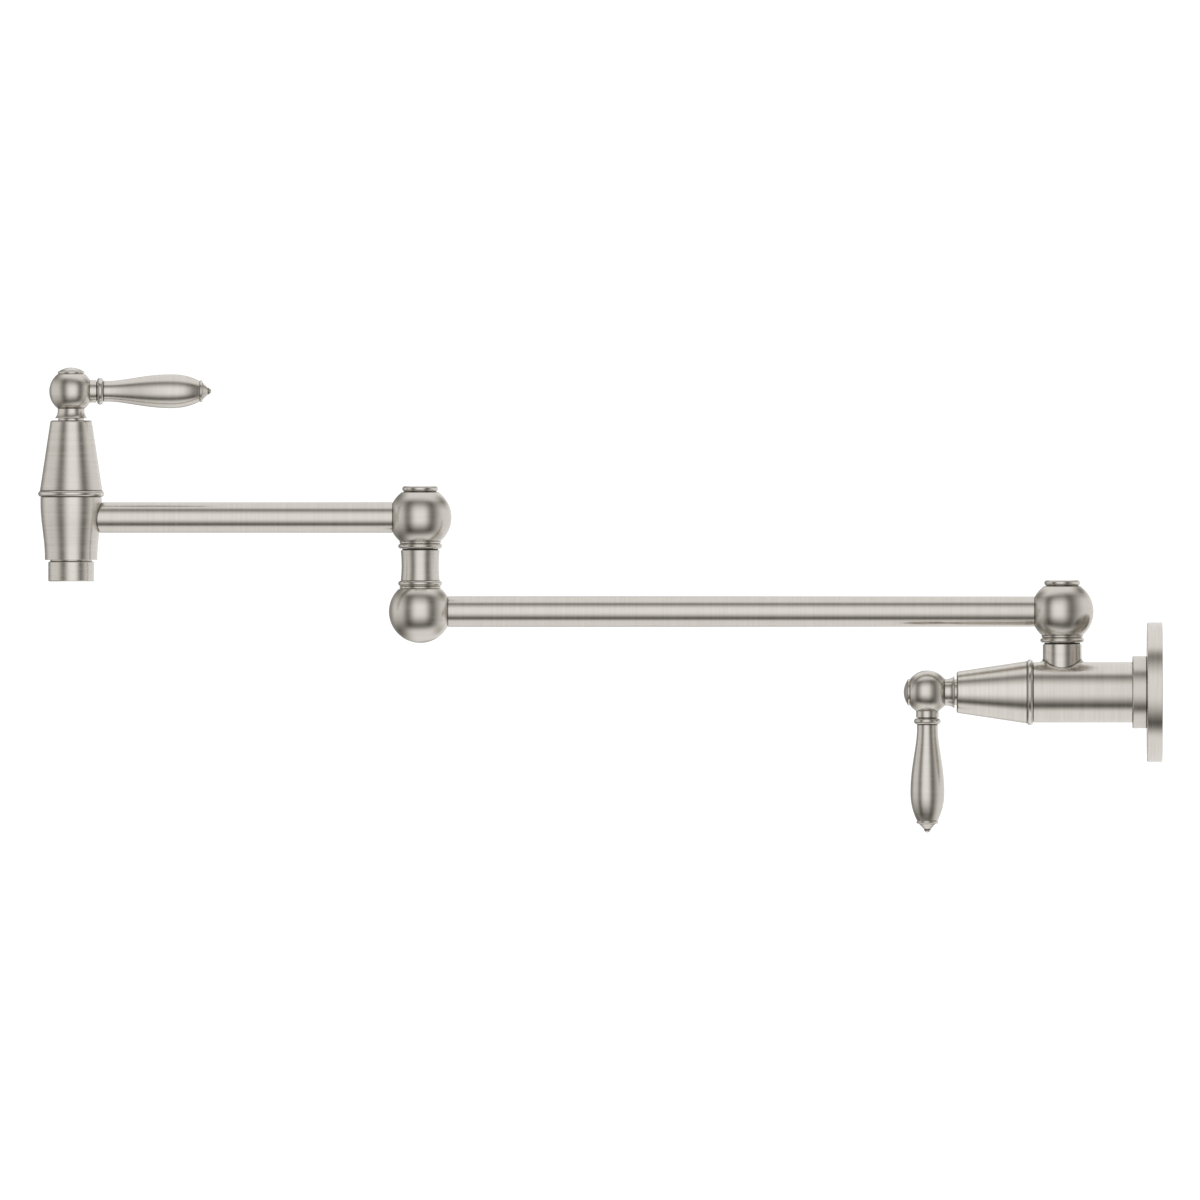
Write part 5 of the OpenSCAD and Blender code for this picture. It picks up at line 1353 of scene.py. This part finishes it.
    def room(self) -> None:
        """The plain white room, which lights everything but the metal's reflections."""
        world = bpy.data.worlds.new("white_room")
        tree = cleared(world)
        eye = add_node(tree, "LightPath")["Is Camera Ray"]
        strength = add_node(tree, "Mix", {0: eye, 2: 1.0, 3: self.backdrop})[0]
        add_node(tree, "OutputWorld", {0: add_node(tree, "Background", {0: linear(WHITE), 1: strength})[0]})
        world.cycles_visibility.glossy = False
        bpy.context.scene.world = world

    def floor(self) -> None:
        """Lays the floor as a disc, which stays out of the reflections of the metal."""
        r, foot = self.floor_r / MM, -self.floor_depth / MM
        disc = Outline(0, foot).line((r, foot), (r, 0), (0, 0))
        sheet = turned(disc, Axis((self.view_x / MM, 0.0, self.floor_z / MM)))
        floor = shown("studio_floor", mesh_of("studio_floor", [sheet]))
        floor.data.materials.append(FLOOR_PAINT.material())
        floor.visible_glossy = False

    def camera(self) -> None:
        """Stands the camera far off with a long lens, level with the object, looking along +Y."""
        data = bpy.data.cameras.new("long_lens")
        data.lens, data.sensor_width, data.clip_end = self.lens_mm, self.sensor_mm, 100.0
        eye = shown("long_lens", data)
        eye.location = (self.view_x, -self.view_width * self.lens_mm / self.sensor_mm, self.view_z)
        eye.rotation_euler = (math.radians(90), 0.0, 0.0)
        bpy.context.scene.camera = eye
        bpy.context.scene.view_settings.view_transform = "Standard"

    def build(self) -> None:
        """Sets up floor, light and camera."""
        self.floor()
        self.light_tent()
        self.room()
        self.camera()


def main() -> None:
    """Builds and dresses each sub-assembly and sets up the studio."""
    logging.basicConfig(level=logging.INFO, format="%(message)s")
    parting, down = ValveUnit.parting, (0.0, 0.0, -1.0)
    wall_valve = Axis((parting - ValveBody.front, 0.0, 0.0), (-1.0, 0.0, 0.0), down)
    spout_valve = Axis((SPOUT_X, 0.0, SPOUT_FOOT + SpoutBarrel.length - parting), start=(1.0, 0.0, 0.0))
    hub_rise = parting + ValveUnit.bonnet_len + LeverHandle.off_bonnet
    wall_hub, spout_hub = wall_valve.shifted(hub_rise), spout_valve.shifted(hub_rise)
    groups: list[SubAssembly] = [
        WallFitting(),
        ValveBody(),
        ValveUnit("wall", Body.WALL, wall_valve),
        LeverHandle("wall", Body.WALL_HANDLE, wall_hub, Axis(wall_hub.origin, down)),
        Swivel("wall", Body.LOWER_ARM, Axis((WALL_X, 0.0, LOWER_Z - Swivel.rise))),
        Arms(),
        Elbow(),
        Swivel("elbow", Body.UPPER_ARM, Axis((ELBOW_X, 0.0, UPPER_Z - Swivel.rise))),
        SpoutBarrel(),
        ValveUnit("spout", Body.UPPER_ARM, spout_valve, NICKEL_COMBED),
        LeverHandle("spout", Body.SPOUT_HANDLE, spout_hub, Axis(spout_hub.origin, (1.0, 0.0, 0.0))),
    ]
    for group in groups:
        group.build()
        group.dress()
    Studio().build()


if __name__ == "__main__":
    main()
